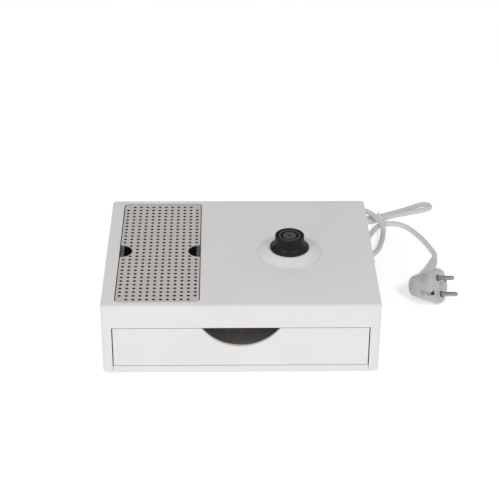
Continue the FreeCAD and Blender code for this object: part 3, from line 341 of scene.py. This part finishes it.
@dataclass(frozen=True)
class Striped:
    """Two-colour insulation with the second colour in bands along the wire."""

    name: str
    colour: Colour
    stripe: Colour
    band_scale: float = 220.0
    grain: float = 1800.0
    grain_depth: float = 8e-6
    roughness: float = 0.42

    def build(self) -> bpy.types.Material:
        """Make the material."""
        bench = ShaderBench(self.name)
        bands = bench.node("ShaderNodeTexWave", {"bands_direction": "DIAGONAL"},
                           {"Vector": bench.place(), "Scale": self.band_scale, "Distortion": 0.6})
        share = bench.ramp(Wire(bench, bands.outputs[1]), [(0.48, 0.0), (0.55, 1.0)])
        bench.relief(bench.noise(self.grain), self.grain_depth)
        return bench.finish(Base_Color=bench.blend(share, self.colour, self.stripe),
                            Roughness=self.roughness + share * 0.04)


FINISHES = {item.name: item for item in (
    Moulded("casing_white", (0.70, 0.69, 0.685), 0.36, coat=0.10),
    Moulded("base_grey", (0.70, 0.69, 0.685), 0.5, grain_depth=22e-6),
    Moulded("drawer_plastic", (0.80, 0.76, 0.73), 0.5, grain_depth=20e-6),
    Moulded("runner_plastic", (0.55, 0.55, 0.54), 0.32),
    Soft("foot_rubber", (0.035, 0.035, 0.036), 0.72),
    BrushedSheet("grille_steel", (0.84, 0.805, 0.785), 0.42),
    # far darker than the grille's steel: painted shade for the inside of the drip pan
    BrushedSheet("tray_steel", (0.19, 0.175, 0.166), 0.5, Brush.CROSSWISE),
    Moulded("connector_black", (0.008, 0.0078, 0.008), 0.42, grain_depth=9e-6, cloud=0.2, gloss=0.25),
    # darkened brass: painted shade for the deep grooves the contacts sit in
    Plated("contact_brass", (0.30, 0.22, 0.11), 0.34),
    Moulded("terminal_plastic", (0.78, 0.76, 0.68), 0.45),
    Soft("core_sheath", (0.30, 0.20, 0.15), 0.5),
    Soft("wire_blue", (0.03, 0.11, 0.42), 0.45),
    Soft("wire_brown", (0.12, 0.05, 0.022), 0.45),
    Striped("wire_green", (0.03, 0.22, 0.05), (0.72, 0.62, 0.05)),
    Soft("cord_grey", (0.56, 0.555, 0.58), 0.42),
    Soft("relief_rubber", (0.52, 0.515, 0.535), 0.46),
    Moulded("plug_grey", (0.46, 0.455, 0.475), 0.36, grain_depth=20e-6),
    Moulded("tie_white", (0.78, 0.78, 0.78), 0.5),
    Plated("pin_steel", (0.46, 0.42, 0.38), 0.26),
    Plated("screw_steel", (0.52, 0.52, 0.52), 0.3),
    # lighter than the bell's black: painted highlight, so the rims of the rings read as lit
    Moulded("ring_black", (0.035, 0.034, 0.034), 0.30, grain_depth=6e-6, cloud=0.2),
    # painted shade: a near-black for the pieces that stand in for shade in gaps, holes and slots
    Moulded("painted_shade_black", (0.012, 0.012, 0.012), 0.6))}


class Paintbox:
    """Builds each finish once and puts it on pieces and frame nodes."""

    def __init__(self) -> None:
        """Build every finish."""
        self.materials = {name: item.build() for name, item in FINISHES.items()}

    def paint(self, piece: bpy.types.Object, finish: str) -> bpy.types.Object:
        """Give a piece one finish.

        Args:
            piece: the piece.
            finish: the finish's name.

        Returns:
            The same piece.
        """
        piece.data.materials.clear()
        piece.data.materials.append(self.materials[finish])
        return piece

    def dress_frame(self) -> None:
        """Put a finish on every node of the frame, by its slot in the record."""
        for part in frame["record"]["subparts"]:
            node = frame["nodes"][part["node"]]
            if node.material_slots:
                for held in node.material_slots:
                    held.material = self.materials[part["material_slot"]]
            else:
                node.data.materials.append(self.materials[part["material_slot"]])


# ---- modelling bench ----

def begin(name: str, adder: object, **sizes: object) -> bpy.types.Object:
    """Add a primitive on its own and start editing it.

    Args:
        name: the new object's name.
        adder: the primitive's operator.
        sizes: the operator's arguments.

    Returns:
        The object, in edit mode with everything selected.
    """
    bpy.ops.object.select_all(action="DESELECT")
    adder(**sizes)
    made = bpy.context.object
    made.name = name
    made.data.name = name
    bpy.ops.object.mode_set(mode="EDIT")
    bpy.ops.mesh.select_all(action="SELECT")
    return made


def end(made: bpy.types.Object, matrix: Matrix | None = None, angle: float = 35.0) -> bpy.types.Object:
    """Merge doubles, turn the faces outwards, leave edit mode and settle the object's place.

    Args:
        made: the object being edited.
        matrix: where its mesh goes.
        angle: edges sharper than this stay crisp.

    Returns:
        The finished object, at the origin.
    """
    bpy.ops.mesh.select_all(action="SELECT")
    bpy.ops.mesh.remove_doubles(threshold=1e-6)
    bpy.ops.mesh.normals_make_consistent(inside=False)
    bpy.ops.object.mode_set(mode="OBJECT")
    if matrix is not None:
        made.matrix_world = matrix @ made.matrix_world
    bpy.ops.object.transform_apply(location=True, rotation=True, scale=True)
    bpy.ops.object.shade_smooth_by_angle(angle=math.radians(angle))
    return made


def apply_modifier(made: bpy.types.Object, kind: str, **settings: object) -> None:
    """Add a modifier with its settings and apply it.

    Args:
        made: the piece.
        kind: the modifier's type.
        settings: its properties.
    """
    bpy.ops.object.select_all(action="DESELECT")
    made.select_set(True)
    bpy.context.view_layer.objects.active = made
    modifier = made.modifiers.new(kind.lower(), kind)
    for key, value in settings.items():
        setattr(modifier, key, value)
    bpy.ops.object.modifier_apply(modifier=modifier.name)


def cut(made: bpy.types.Object, cutter: bpy.types.Object) -> None:
    """Take a cutter's shape out of a piece and throw the cutter away."""
    apply_modifier(made, "BOOLEAN", object=cutter, operation="DIFFERENCE", solver="EXACT")
    bpy.data.objects.remove(cutter)


def block(name: str, centre: Point, sizes: Point) -> bpy.types.Object:
    """A box in millimetres, left in edit mode.

    Args:
        name: the box's name.
        centre: its middle.
        sizes: its length along each axis.

    Returns:
        The box.
    """
    made = begin(name, bpy.ops.mesh.primitive_cube_add, size=1.0,
                 location=tuple(value * MM for value in centre))
    bpy.ops.transform.resize(value=tuple(value * MM for value in sizes))
    return made


def soften(made: bpy.types.Object, width: float, segments: int = 3,
           angle: float = 30.0) -> bpy.types.Object:
    """Round every edge sharper than an angle.

    Args:
        made: the piece.
        width: how far the rounding reaches from the edge.
        segments: its divisions.
        angle: edges sharper than this are rounded.

    Returns:
        The same piece.
    """
    apply_modifier(made, "BEVEL", width=width, segments=segments, limit_method="ANGLE",
                   angle_limit=math.radians(angle), use_clamp_overlap=True)
    bpy.ops.object.shade_smooth_by_angle(angle=math.radians(angle + SMOOTH_MARGIN))
    return made


def lathe(name: str, profile: list[tuple[float, float]], matrix: Matrix,
          steps: int) -> bpy.types.Object:
    """A turned piece.

    Args:
        name: the piece's name.
        profile: (radius, height) in millimetres; it starts and ends on the axis, or closes on itself.
        matrix: where the axis goes.
        steps: divisions of the turn.

    Returns:
        The finished piece.
    """
    made = begin(name, bpy.ops.mesh.primitive_plane_add, size=MM, location=(0.0, 0.0, 0.0))
    bpy.ops.mesh.merge(type="CENTER")
    corners = [Vector((radius * MM, 0.0, height * MM)) for radius, height in profile]
    bpy.ops.transform.translate(value=corners[0])
    for before, after in zip(corners, corners[1:]):
        bpy.ops.mesh.extrude_region_move(TRANSFORM_OT_translate={"value": after - before})
    bpy.ops.mesh.select_all(action="SELECT")
    bpy.ops.mesh.spin(steps=steps, angle=FULL_TURN, center=(0.0, 0.0, 0.0), axis=(0.0, 0.0, 1.0))
    return end(made, matrix)


def arc(centre: tuple[float, float], radius: float, start: float, stop: float, parts: int) -> list:
    """Points of a profile's arc.

    Args:
        centre: the arc's centre, as (radius, height).
        radius: its radius.
        start: the angle of its first point, in degrees.
        stop: the angle of its last point, in degrees.
        parts: how many steps lie between them.

    Returns:
        The points in order.
    """
    turns = [math.radians(start + (stop - start) * step / parts) for step in range(parts + 1)]
    return [(centre[0] + radius * math.cos(turn), centre[1] + radius * math.sin(turn)) for turn in turns]


def seat(piece: bpy.types.Object, slot: str, body: str, paint: Paintbox, *nodes: str) -> bpy.types.Object:
    """Paint a piece, ride it on its body and let it stand for frame nodes.

    Args:
        piece: the piece.
        slot: its finish, and its slot where the record has one of that name.
        body: the body it moves with.
        paint: where the finishes are.
        nodes: the frame nodes it stands for.

    Returns:
        The same piece.
    """
    paint.paint(piece, slot)
    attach(piece, body)
    if nodes:
        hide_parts(*nodes)
    log.info("%s rides on %s", piece.name, body)
    return piece


# ---- camera, light and floor ----

@dataclass(frozen=True)
class Lamp:
    """A square soft light that faces a point."""

    name: str
    spot: Point
    aim: Point
    power: float
    size: float = 0.42

    def hang(self) -> None:
        """Hang the light and turn it to its point."""
        data = bpy.data.lights.new(self.name, "AREA")
        data.size = self.size
        data.energy = self.power
        lamp = bpy.data.objects.new(self.name, data)
        bpy.context.scene.collection.objects.link(lamp)
        facing = (Vector(self.aim) - Vector(self.spot)).to_track_quat("-Z", "Y")
        lamp.matrix_world = Matrix.Translation(self.spot) @ facing.to_matrix().to_4x4()


@dataclass(frozen=True)
class Studio:
    """The camera, two broad front lights, an even sky and a pale floor."""

    eye: Point = (-0.01709, -1.30937, 0.84085)
    yaw: float = 0.0209
    pitch: float = 0.5276
    roll: float = 0.0071
    lens: float = 107.5
    sensor: float = 36.0
    nearest: float = 0.01
    sky: float = 0.50
    lamps: tuple[Lamp, ...] = (Lamp("left_light", (-1.15, -1.25, 1.75), (0.0, 0.0, 0.04), 17.5),
                               Lamp("right_light", (1.15, -1.15, 1.65), (0.02, 0.0, 0.04), 13.0))
    floor_size: float = 30.0
    floor_drop: float = 0.0002
    floor_glow: float = 0.36
    mottle_scale: float = 9.0
    paper_dark: Colour = (0.90, 0.90, 0.90)
    paper_light: Colour = (0.94, 0.94, 0.94)

    def place_camera(self) -> None:
        """Stand the camera and make it the scene's."""
        data = bpy.data.cameras.new("camera")
        data.lens = self.lens
        data.sensor_width = self.sensor
        data.clip_start = self.nearest
        camera = bpy.data.objects.new("camera", data)
        bpy.context.scene.collection.objects.link(camera)
        level = math.cos(self.pitch)
        ahead = Vector((math.sin(self.yaw) * level, math.cos(self.yaw) * level, -math.sin(self.pitch)))
        flat = Vector((math.cos(self.yaw), -math.sin(self.yaw), 0.0))
        above = flat.cross(ahead)
        right = flat * math.cos(self.roll) + above * math.sin(self.roll)
        up = above * math.cos(self.roll) - flat * math.sin(self.roll)
        turn = Matrix((right, up, -ahead)).transposed().to_4x4()
        camera.matrix_world = Matrix.Translation(self.eye) @ turn
        bpy.context.scene.camera = camera

    def light(self) -> None:
        """Set the sky and the lights."""
        scene = bpy.context.scene
        scene.view_settings.view_transform = "Standard"
        scene.world = scene.world or bpy.data.worlds.new("sky")
        scene.world.use_nodes = True
        backdrop = next(n for n in scene.world.node_tree.nodes if n.type == "BACKGROUND")
        backdrop.inputs["Color"].default_value = (1.0, 1.0, 1.0, 1.0)
        backdrop.inputs["Strength"].default_value = self.sky
        for lamp in self.lamps:
            lamp.hang()

    def lay_floor(self) -> None:
        """Lay the pale floor."""
        made = begin("studio_floor", bpy.ops.mesh.primitive_plane_add, size=self.floor_size,
                     location=(0.0, 0.0, -self.floor_drop))
        end(made)
        bench = ShaderBench("floor_paper")
        mottle = bench.noise(self.mottle_scale, 3.0)
        bench.finish(Base_Color=bench.blend(mottle, self.paper_dark, self.paper_light),
                     Roughness=0.85 + mottle * 0.1,
                     Emission_Color=(1.0, 1.0, 1.0), Emission_Strength=self.floor_glow)
        made.data.materials.append(bench.material)


# ---- the mains lead ----

CORD_EXIT = (143.91, 87.79, 12.5)
CORD_POINTS = [
    # out of the casing, down to the surface and over the outgoing lead
    (145.3, 99.1, 12.5), (149.6, 111.5, 7.6), (155.4, 125.0, 3.4), (160.8, 142.0, 3.2),
    (164.6, 158.5, 4.8), (165.2, 173.0, 10.3), (160.6, 186.5, 10.3), (155.0, 199.0, 9.4),
    # first turn of the open loop behind the casing
    (147.0, 209.0, 9.0), (133.0, 217.0, 6.0), (115.0, 221.5, 3.4), (99.0, 219.0, 3.3),
    (89.0, 210.0, 5.2), (87.4, 197.5, 9.2), (94.5, 188.0, 9.3), (107.5, 184.8, 6.2),
    (125.0, 187.0, 3.2), (140.0, 189.3, 3.1), (152.5, 192.3, 3.1), (164.3, 196.0, 3.1),
    # out through the tie, round the narrow loop and back
    (175.0, 203.5, 3.1), (187.0, 208.6, 3.1), (199.5, 213.0, 3.1), (212.0, 217.2, 3.1),
    (222.2, 221.7, 3.1), (225.8, 225.4, 3.2), (225.5, 230.3, 3.3), (221.7, 233.5, 3.3), (216.2, 233.2, 3.2),
    (206.0, 226.6, 3.1), (193.5, 218.8, 3.1), (180.0, 211.8, 3.1), (168.5, 205.8, 3.1),
    (160.5, 202.0, 3.1), (150.5, 199.0, 3.1),
    # inner turn of the open loop
    (138.0, 202.5, 3.1), (125.0, 208.0, 3.1), (112.0, 210.8, 3.1), (101.5, 208.5, 3.1), (95.5, 202.0, 3.1),
    # out along the surface to the plug
    (92.0, 194.0, 3.05), (86.0, 178.5, 3.05), (84.5, 161.5, 3.05), (88.5, 145.0, 3.05),
    (99.5, 132.0, 3.05), (115.5, 125.6, 3.05), (131.5, 130.0, 3.05), (142.5, 144.5, 3.05),
    (149.8, 160.5, 3.05), (155.8, 174.6, 3.05), (164.6, 185.6, 3.05), (178.0, 188.6, 3.05),
    (191.5, 182.0, 3.05), (201.5, 166.0, 3.05), (209.2, 147.5, 3.05), (213.6, 133.0, 3.2),
    (215.9, 119.5, 4.9), (216.5, 106.0, 8.6), (213.42, 92.89, 9.42),
]


@dataclass
class Plug:
    """The earthed plug on the lead's end, with its sizes in millimetres.

    It is made in its own frame, with Z out along the pins, X across them and Y towards the lead.
    """

    paint: Paintbox
    face: Point = (0.2103, 0.0236, 0.01944)
    out: Point = (0.82018, -0.49281, 0.2906)
    across: Point = (0.2491, -0.1496, -0.9568)
    # the head, turned: a flat face, a rounded rim, a taper and a rounded back
    face_radius: float = 16.9
    rim_centre: float = 17.3
    rim_edge: float = 1.2
    rim_foot: float = 5.0
    taper: Outline = ((16.9, -8.4), (15.5, -14.0), (13.7, -20.5), (11.8, -27.0))
    back_centre: tuple[float, float] = (7.6, -29.0)
    back_edge: float = 3.4
    head_depth: float = 32.6
    # the earth slots, as where their cutter stands and its sizes, and the near-black block of painted shade
    # in their depth
    slot_out: float = 18.4
    slot_middle: float = -7.0
    slot_sizes: Point = (4.0, 5.0, 16.0)
    slot_shade_out: float = 15.6
    slot_shade_middle: float = -1.1
    slot_shade_sizes: Point = (4.8, 3.6, 2.4)
    slot_shade_edge: float = 0.2
    # the flats for finger and thumb behind the rim
    grip_out: float = 21.0
    grip_middle: float = -23.0
    grip_sizes: Point = (20.0, 44.0, 26.0)
    grip_lean: float = 7.0
    grip_edge: float = 2.0
    # the rings of painted shade round the roots of the pins
    pin_out: float = 9.5
    pin_shade_bore: float = 2.45
    pin_shade_radius: float = 3.3
    pin_shade_height: float = 0.25
    # the neck and its ribbed strain relief, along the lead
    neck_root: Point = (0.0, 0.1, -19.94)
    neck_tip: Point = (0.0, 61.0, -34.5)
    neck_length: float = 39.0
    neck_outline: Outline = ((0.0, 0.0), (9.6, 0.0), (9.9, 6.0), (9.2, 18.0), (7.9, 28.0), (6.7, 34.0))
    shoulder_radius: float = 6.0
    shoulder_back: float = 3.2
    shoulder_edge: float = 0.6
    ribs: int = 6
    rib_start: float = 2.0
    rib_radius: float = 6.2
    rib_taper: float = 0.36
    rib_depth: float = 1.1
    tip_radius: float = 3.9

    def stand(self) -> Matrix:
        """Where the plug's own frame stands."""
        out = Vector(self.out).normalized()
        across = Vector(self.across)
        across = (across - out * across.dot(out)).normalized()
        turn = Matrix((across, out.cross(across), out)).transposed().to_4x4()
        return Matrix.Translation(self.face) @ turn

    def cut_slots(self, head: bpy.types.Object) -> None:
        """Cut an earth slot into each side of the head."""
        for side in (-1, 1):
            cutter = block("slot_cutter", (0.0, side * self.slot_out, self.slot_middle), self.slot_sizes)
            end(cutter)
            cut(head, cutter)

    def cut_grips(self, head: bpy.types.Object) -> None:
        """Cut a leaning flat into each side of the head."""
        for side in (-1, 1):
            centre = (side * self.grip_out, 0.0, self.grip_middle)
            cutter = block("grip_cutter", centre, self.grip_sizes)
            bpy.ops.transform.rotate(value=side * math.radians(self.grip_lean), orient_axis="Y",
                                     center_override=tuple(value * MM for value in centre))
            end(cutter)
            soften(cutter, self.grip_edge * MM, 3)
            cut(head, cutter)

    def add_painted_shade(self, piece: bpy.types.Object) -> bpy.types.Object:
        """Move a near-black piece of painted shade from the plug's own frame to its place and seat it."""
        piece.data.transform(self.stand())
        return seat(piece, "painted_shade_black", ROOT_BODY, self.paint)

    def shade_pin_roots(self) -> list[bpy.types.Object]:
        """Rings of painted shade round the roots of the pins."""
        foot, rim = (self.pin_shade_bore, 0.0), (self.pin_shade_radius, 0.0)
        profile = [foot, rim, (self.pin_shade_radius, self.pin_shade_height), (self.pin_shade_bore, self.pin_shade_height), foot]
        places = [Matrix.Translation((side * self.pin_out * MM, 0.0, 0.0)) for side in (-1, 1)]
        return [self.add_painted_shade(lathe("pin_shade_ring", profile, place, 32)) for place in places]

    def shade_earth_slots(self) -> list[bpy.types.Object]:
        """Near-black blocks of painted shade in the depths of the earth slots."""
        made = []
        for side in (-1, 1):
            depth = block("slot_shade_block", (0.0, side * self.slot_shade_out, self.slot_shade_middle), self.slot_shade_sizes)
            end(depth)
            made.append(self.add_painted_shade(soften(depth, self.slot_shade_edge * MM, 2)))
        return made

    def mould_head(self) -> list[bpy.types.Object]:
        """The round head with its earth slots and finger flats, and the pieces of painted shade at its pins
        and slots.

        Returns:
            The head and then its pieces of painted shade.
        """
        profile = ([(0.0, 0.0), (self.face_radius, 0.0)]
                   + arc((self.rim_centre, -self.rim_edge), self.rim_edge, 90, 0, 4)
                   + [(self.rim_centre + self.rim_edge, -self.rim_foot)]
                   + arc((self.rim_centre, -self.rim_foot), self.rim_edge, 0, -60, 3)
                   + list(self.taper)
                   + arc(self.back_centre, self.back_edge, 20, -90, 6) + [(0.0, -self.head_depth)])
        head = lathe("plug_head", profile, Matrix.Identity(4), 96)
        self.cut_slots(head)
        self.cut_grips(head)
        # the near-black pieces of painted shade at the pin roots and in the earth slots
        shade_pieces = self.shade_pin_roots() + self.shade_earth_slots()
        head.data.transform(self.stand())
        return [seat(head, "plug_grey", ROOT_BODY, self.paint, "plug_body")] + shade_pieces

    def mould_neck(self) -> bpy.types.Object:
        """The neck and ribbed strain relief, in one turned piece along the lead."""
        root, tip = Vector(self.neck_root), Vector(self.neck_tip)
        reach = (tip - root).length
        profile = list(self.neck_outline)
        shoulder = (self.shoulder_radius, self.neck_length - self.shoulder_back)
        profile += arc(shoulder, self.shoulder_edge, 0, 60, 2)
        pitch = (reach - self.neck_length + self.rib_start) / self.ribs
        for rib in range(self.ribs):
            low = self.neck_length - self.rib_start + rib * pitch
            outer = self.rib_radius - rib * self.rib_taper
            profile += [(outer - self.rib_depth, low), (outer - self.rib_depth, low + pitch * 0.3),
                        (outer, low + pitch * 0.4), (outer - 0.1, low + pitch * 0.9)]
        profile += [(self.tip_radius, reach), (0.0, reach)]
        along = (tip - root).to_track_quat("Z", "X").to_matrix().to_4x4()
        neck = lathe("plug_neck", profile, self.stand() @ Matrix.Translation(root * MM) @ along, 48)
        return seat(neck, "relief_rubber", ROOT_BODY, self.paint, "plug_relief")


@dataclass
class MainsLead:
    """The lead with its tie and plug."""

    paint: Paintbox
    diameter: float = 0.006
    length: float = 0.80
    tie_place: Point = (0.163, 0.199, 0.00405)
    tie_turn: float = 24.0
    tie_radius: float = 0.0072
    tie_wire: float = 0.00055
    tie_squash: Point = (1.0, 0.5, 3.2)
    tail_radius: float = 0.0007
    tail_length: float = 0.006
    tail_place: Point = (0.0012, 0.0058, 0.0006)
    tail_tilt: float = 70.0
    tail_spread: float = 24.0

    def lay_cord(self) -> bpy.types.Object:
        """The lead on one smooth curve."""
        curve = bpy.data.curves.new("lead", "CURVE")
        curve.dimensions = "3D"
        curve.bevel_depth = self.diameter / 2
        curve.bevel_resolution = 6
        curve.resolution_u = 10
        curve.use_fill_caps = True
        points = [CORD_EXIT] + CORD_POINTS
        spline = curve.splines.new("NURBS")
        spline.points.add(len(points) - 1)
        for held, place in zip(spline.points, points):
            held.co = (*(value * MM for value in place), 1.0)
        spline.order_u = 3
        spline.use_endpoint_u = True
        lead = bpy.data.objects.new("lead", curve)
        bpy.context.scene.collection.objects.link(lead)
        return seat(lead, "cord_grey", ROOT_BODY, self.paint, "cord_entry", "cord_hank", "cord_lead")

    def wrap_tie(self) -> bpy.types.Object:
        """A thin oval tie round the waist of the hank, with two twisted ends."""
        made = begin("tie", bpy.ops.mesh.primitive_torus_add, major_segments=56, minor_segments=10,
                     major_radius=self.tie_radius, minor_radius=self.tie_wire, location=(0.0, 0.0, 0.0))
        bpy.ops.transform.resize(value=self.tie_squash)
        tail_x, tail_y, tail_z = self.tail_place
        for side in (-1, 1):
            bpy.ops.mesh.primitive_cylinder_add(
                vertices=10, radius=self.tail_radius, depth=self.tail_length,
                location=(side * tail_x, tail_y, side * tail_z),
                rotation=(math.radians(self.tail_tilt), 0.0, math.radians(side * self.tail_spread)))
        turn = Matrix.Rotation(math.radians(self.tie_turn + 90), 4, "Z")
        stand = Matrix.Rotation(math.radians(90), 4, "X")
        piece = end(made, Matrix.Translation(self.tie_place) @ turn @ stand)
        return seat(piece, "tie_white", ROOT_BODY, self.paint, "cord_tie")

    def build(self) -> None:
        """Make the lead, its tie and its plug."""
        lead = self.lay_cord()
        tie = self.wrap_tie()
        plug = Plug(self.paint)
        head, *shade_pieces = plug.mould_head()
        neck = plug.mould_neck()
        held = [frame["nodes"][name] for name in ("cord_relief", "plug_pins", "plug_earth_strips")]
        [tie, head, neck] + shade_pieces + held


# ---- the power connector ----

@dataclass
class Connector:
    """The raised round connector, with its sizes in millimetres: white collar, black bell and rings."""

    paint: Paintbox
    centre: Point = (50.0, -5.0, 0.0)
    # the collar: a low lip, a slope and a rounded brow
    deck: float = 78.0
    collar_bore: float = 16.0
    collar_radius: float = 32.2
    collar_lip: float = 0.5
    collar_edge: float = 0.8
    collar_slope: tuple[float, float] = (22.6, 83.1)
    brow_centre: tuple[float, float] = (21.6, 82.2)
    brow_edge: float = 1.3
    collar_top: float = 83.5
    # the bell: a wide skirt that sweeps up to a narrow rim
    bell_bore: float = 12.6
    bell_foot: float = 83.6
    bell_sweep: Outline = ((19.7, 83.6), (19.7, 85.0), (19.2, 85.6), (17.6, 86.3), (16.3, 87.5),
                           (15.4, 89.2), (14.9, 91.0), (14.7, 92.6))
    rim_centre: tuple[float, float] = (14.1, 97.4)
    rim_edge: float = 0.6
    lip_centre: tuple[float, float] = (13.0, 97.6)
    lip_edge: float = 0.4
    nub_offset: Point = (-16.8, -5.2, 86.8)
    nub_sizes: Point = (3.0, 3.4, 2.2)
    nub_edge: float = 0.6
    # the core: its stem, then a ridge and a centre disc that stand up from the grooves' floor
    socket_radius: float = 1.6
    stem_foot: float = 63.6
    stem_radius: float = 15.3
    core_radius: float = 12.5
    groove_floor: float = 90.2
    ridge_top: float = 97.9
    ridge_outer: float = 11.3
    ridge_inner: float = 9.3
    ridge_edge: float = 0.4
    disc_radius: float = 6.9
    disc_drop: float = 0.2
    disc_edge: float = 0.5
    dimple_out: float = 4.3
    dimple_radius: float = 0.55
    dimple_depth: float = 1.6
    dimple_middle: float = 97.7

    def place(self) -> Matrix:
        """The connector's upright axis."""
        return Matrix.Translation(tuple(value * MM for value in self.centre))

    def turn_collar(self) -> None:
        """The soft-edged white cone that the bell stands on."""
        lip_top = self.deck + self.collar_lip
        foot = (self.collar_bore, self.deck)
        profile = ([foot, (self.collar_radius, self.deck), (self.collar_radius, lip_top)]
                   + arc((self.collar_radius - self.collar_edge, lip_top), self.collar_edge, 20, 62, 3)
                   + [self.collar_slope] + arc(self.brow_centre, self.brow_edge, 55, 90, 3)
                   + [(self.collar_bore, self.collar_top), foot])
        collar = lathe("collar_cone", profile, self.place(), 128)
        seat(collar, "casing_white", ROOT_BODY, self.paint, "connector_collar")

    def turn_bell(self) -> None:
        """The black bell with its small nub."""
        foot = (self.bell_bore, self.bell_foot)
        profile = ([foot] + list(self.bell_sweep) + arc(self.rim_centre, self.rim_edge, 0, 90, 4)
                   + arc(self.lip_centre, self.lip_edge, 90, 180, 3) + [foot])
        bell = lathe("connector_bell", profile, self.place(), 128)
        seat(bell, "connector_black", ROOT_BODY, self.paint, "connector_cover")
        spot = tuple(middle + offset for middle, offset in zip(self.centre, self.nub_offset))
        nub = block("bell_nub", spot, self.nub_sizes)
        end(nub)
        seat(soften(nub, self.nub_edge * MM), "connector_black", ROOT_BODY, self.paint)

    def turn_core(self) -> None:
        """The core inside the bell: stem, ridge and centre disc with its socket and two dimples."""
        foot = (self.socket_radius, self.stem_foot)
        ridge_bend = self.ridge_top - self.ridge_edge
        disc_bend = self.ridge_top - self.disc_drop - self.disc_edge
        profile = ([foot, (self.stem_radius, self.stem_foot), (self.stem_radius, self.collar_top),
                    (self.core_radius, self.collar_top), (self.core_radius, self.groove_floor),
                    (self.ridge_outer, self.groove_floor)]
                   + arc((self.ridge_outer - self.ridge_edge, ridge_bend), self.ridge_edge, 0, 90, 3)
                   + arc((self.ridge_inner + self.ridge_edge, ridge_bend), self.ridge_edge, 90, 180, 3)
                   + [(self.ridge_inner, self.groove_floor), (self.disc_radius, self.groove_floor)]
                   + arc((self.disc_radius - self.disc_edge, disc_bend), self.disc_edge, 0, 90, 3)
                   + arc((self.socket_radius + self.disc_edge, disc_bend), self.disc_edge, 90, 180, 3)
                   + [foot])
        rings = lathe("connector_rings", profile, self.place(), 96)
        for side in (-1, 1):
            cutter = begin("dimple_cutter", bpy.ops.mesh.primitive_cylinder_add, vertices=24,
                           radius=self.dimple_radius * MM, depth=self.dimple_depth * MM,
                           location=((self.centre[0] + side * self.dimple_out) * MM, self.centre[1] * MM,
                                     self.dimple_middle * MM))
            end(cutter)
            cut(rings, cutter)
        seat(rings, "ring_black", ROOT_BODY, self.paint, "connector_core")

    def build(self) -> None:
        """Make the three turned pieces."""
        self.turn_collar()
        self.turn_bell()
        self.turn_core()


# ---- the drip tray and grille ----

@dataclass
class GrilleGapShade:
    """A thin near-black frame on the tray's flange, round the edge of the grille: painted shade for the gap
    between the grille and its recess.
    """

    paint: Paintbox
    width: float = 0.00045
    height: float = 0.0010
    corner: float = 0.0040
    clearance: float = 0.0001

    def build(self) -> None:
        """Make the frame of painted shade between the grille's edge and the flange's edge."""
        low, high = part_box("drip_tray")
        made = begin("grille_gap_shade", bpy.ops.mesh.primitive_plane_add, size=1.0,
                     location=((low.x + high.x) / 2, (low.y + high.y) / 2, high.z + self.clearance))
        bpy.ops.transform.resize(value=(high.x - low.x, high.y - low.y, 1.0))
        bpy.ops.mesh.bevel(offset=self.corner, segments=5, affect="VERTICES")
        bpy.ops.mesh.select_all(action="SELECT")
        bpy.ops.mesh.inset(thickness=self.width)
        bpy.ops.mesh.delete(type="FACE")
        bpy.ops.mesh.select_all(action="SELECT")
        bpy.ops.mesh.extrude_region_move(TRANSFORM_OT_translate={"value": (0.0, 0.0, self.height)})
        end(made)
        seat(made, "painted_shade_black", "drip_tray", self.paint)


@dataclass(frozen=True)
class HoleWallShade:
    """Thin near-black sleeves on the punched walls of the grille's holes: painted shade inside the holes."""

    paint: Paintbox
    radius: float = 0.00157
    sheet: float = 0.00006
    depth_share: float = 0.96
    pitch: tuple[float, float] = (0.00665, 0.00685)
    columns: int = 12
    rows: int = 28

    def wall_block(self, columns: tuple[int, int, int], first_row: int, rows: int) -> bpy.types.Object:
        """The sleeves of painted shade in a block of holes.

        Args:
            columns: the first column, the pitches to the next and how many columns.
            first_row: the block's first row.
            rows: how many rows.

        Returns:
            The block's sleeves of painted shade.
        """
        low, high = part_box("drip_grille")
        first_column, step, count = columns
        spot = ((low.x + high.x) / 2 + self.pitch[0] * (first_column - (self.columns - 1) / 2),
                (low.y + high.y) / 2 + self.pitch[1] * (first_row - (self.rows - 1) / 2),
                (low.z + high.z) / 2)
        made = begin("hole_wall_shade", bpy.ops.mesh.primitive_cylinder_add, vertices=16, radius=self.radius,
                     depth=(high.z - low.z) * self.depth_share, end_fill_type="NOTHING", location=spot)
        end(made)
        apply_modifier(made, "SOLIDIFY", thickness=self.sheet, offset=-1.0)
        for copies, offset in ((count, (self.pitch[0] * step, 0.0, 0.0)),
                               (rows, (0.0, self.pitch[1], 0.0))):
            apply_modifier(made, "ARRAY", count=copies, use_relative_offset=False,
                           use_constant_offset=True, constant_offset_displace=offset)
        return made

    def build(self) -> None:
        """Make the sleeves of painted shade in the same blocks as the holes, short of the notches near the
        sides.
        """
        half = self.rows // 2
        blocks = [((2, 1, self.columns - 4), 0, self.rows)]
        blocks += [((1, self.columns - 3, 2), first_row, half - 1) for first_row in (0, half + 1)]
        blocks += [((0, self.columns - 1, 2), first_row, half - 3) for first_row in (1, half + 2)]
        for columns, first_row, rows in blocks:
            seat(self.wall_block(columns, first_row, rows), "painted_shade_black", "drip_grille", self.paint)


def main() -> None:
    """Build everything in order."""
    logging.basicConfig(level=logging.INFO, format="%(name)s: %(message)s")
    studio = Studio()
    studio.place_camera()
    paint = Paintbox()
    MainsLead(paint).build()
    studio.light()
    studio.lay_floor()
    paint.dress_frame()
    Connector(paint).build()
    GrilleGapShade(paint).build()
    HoleWallShade(paint).build()


if __name__ == "__main__":
    main()
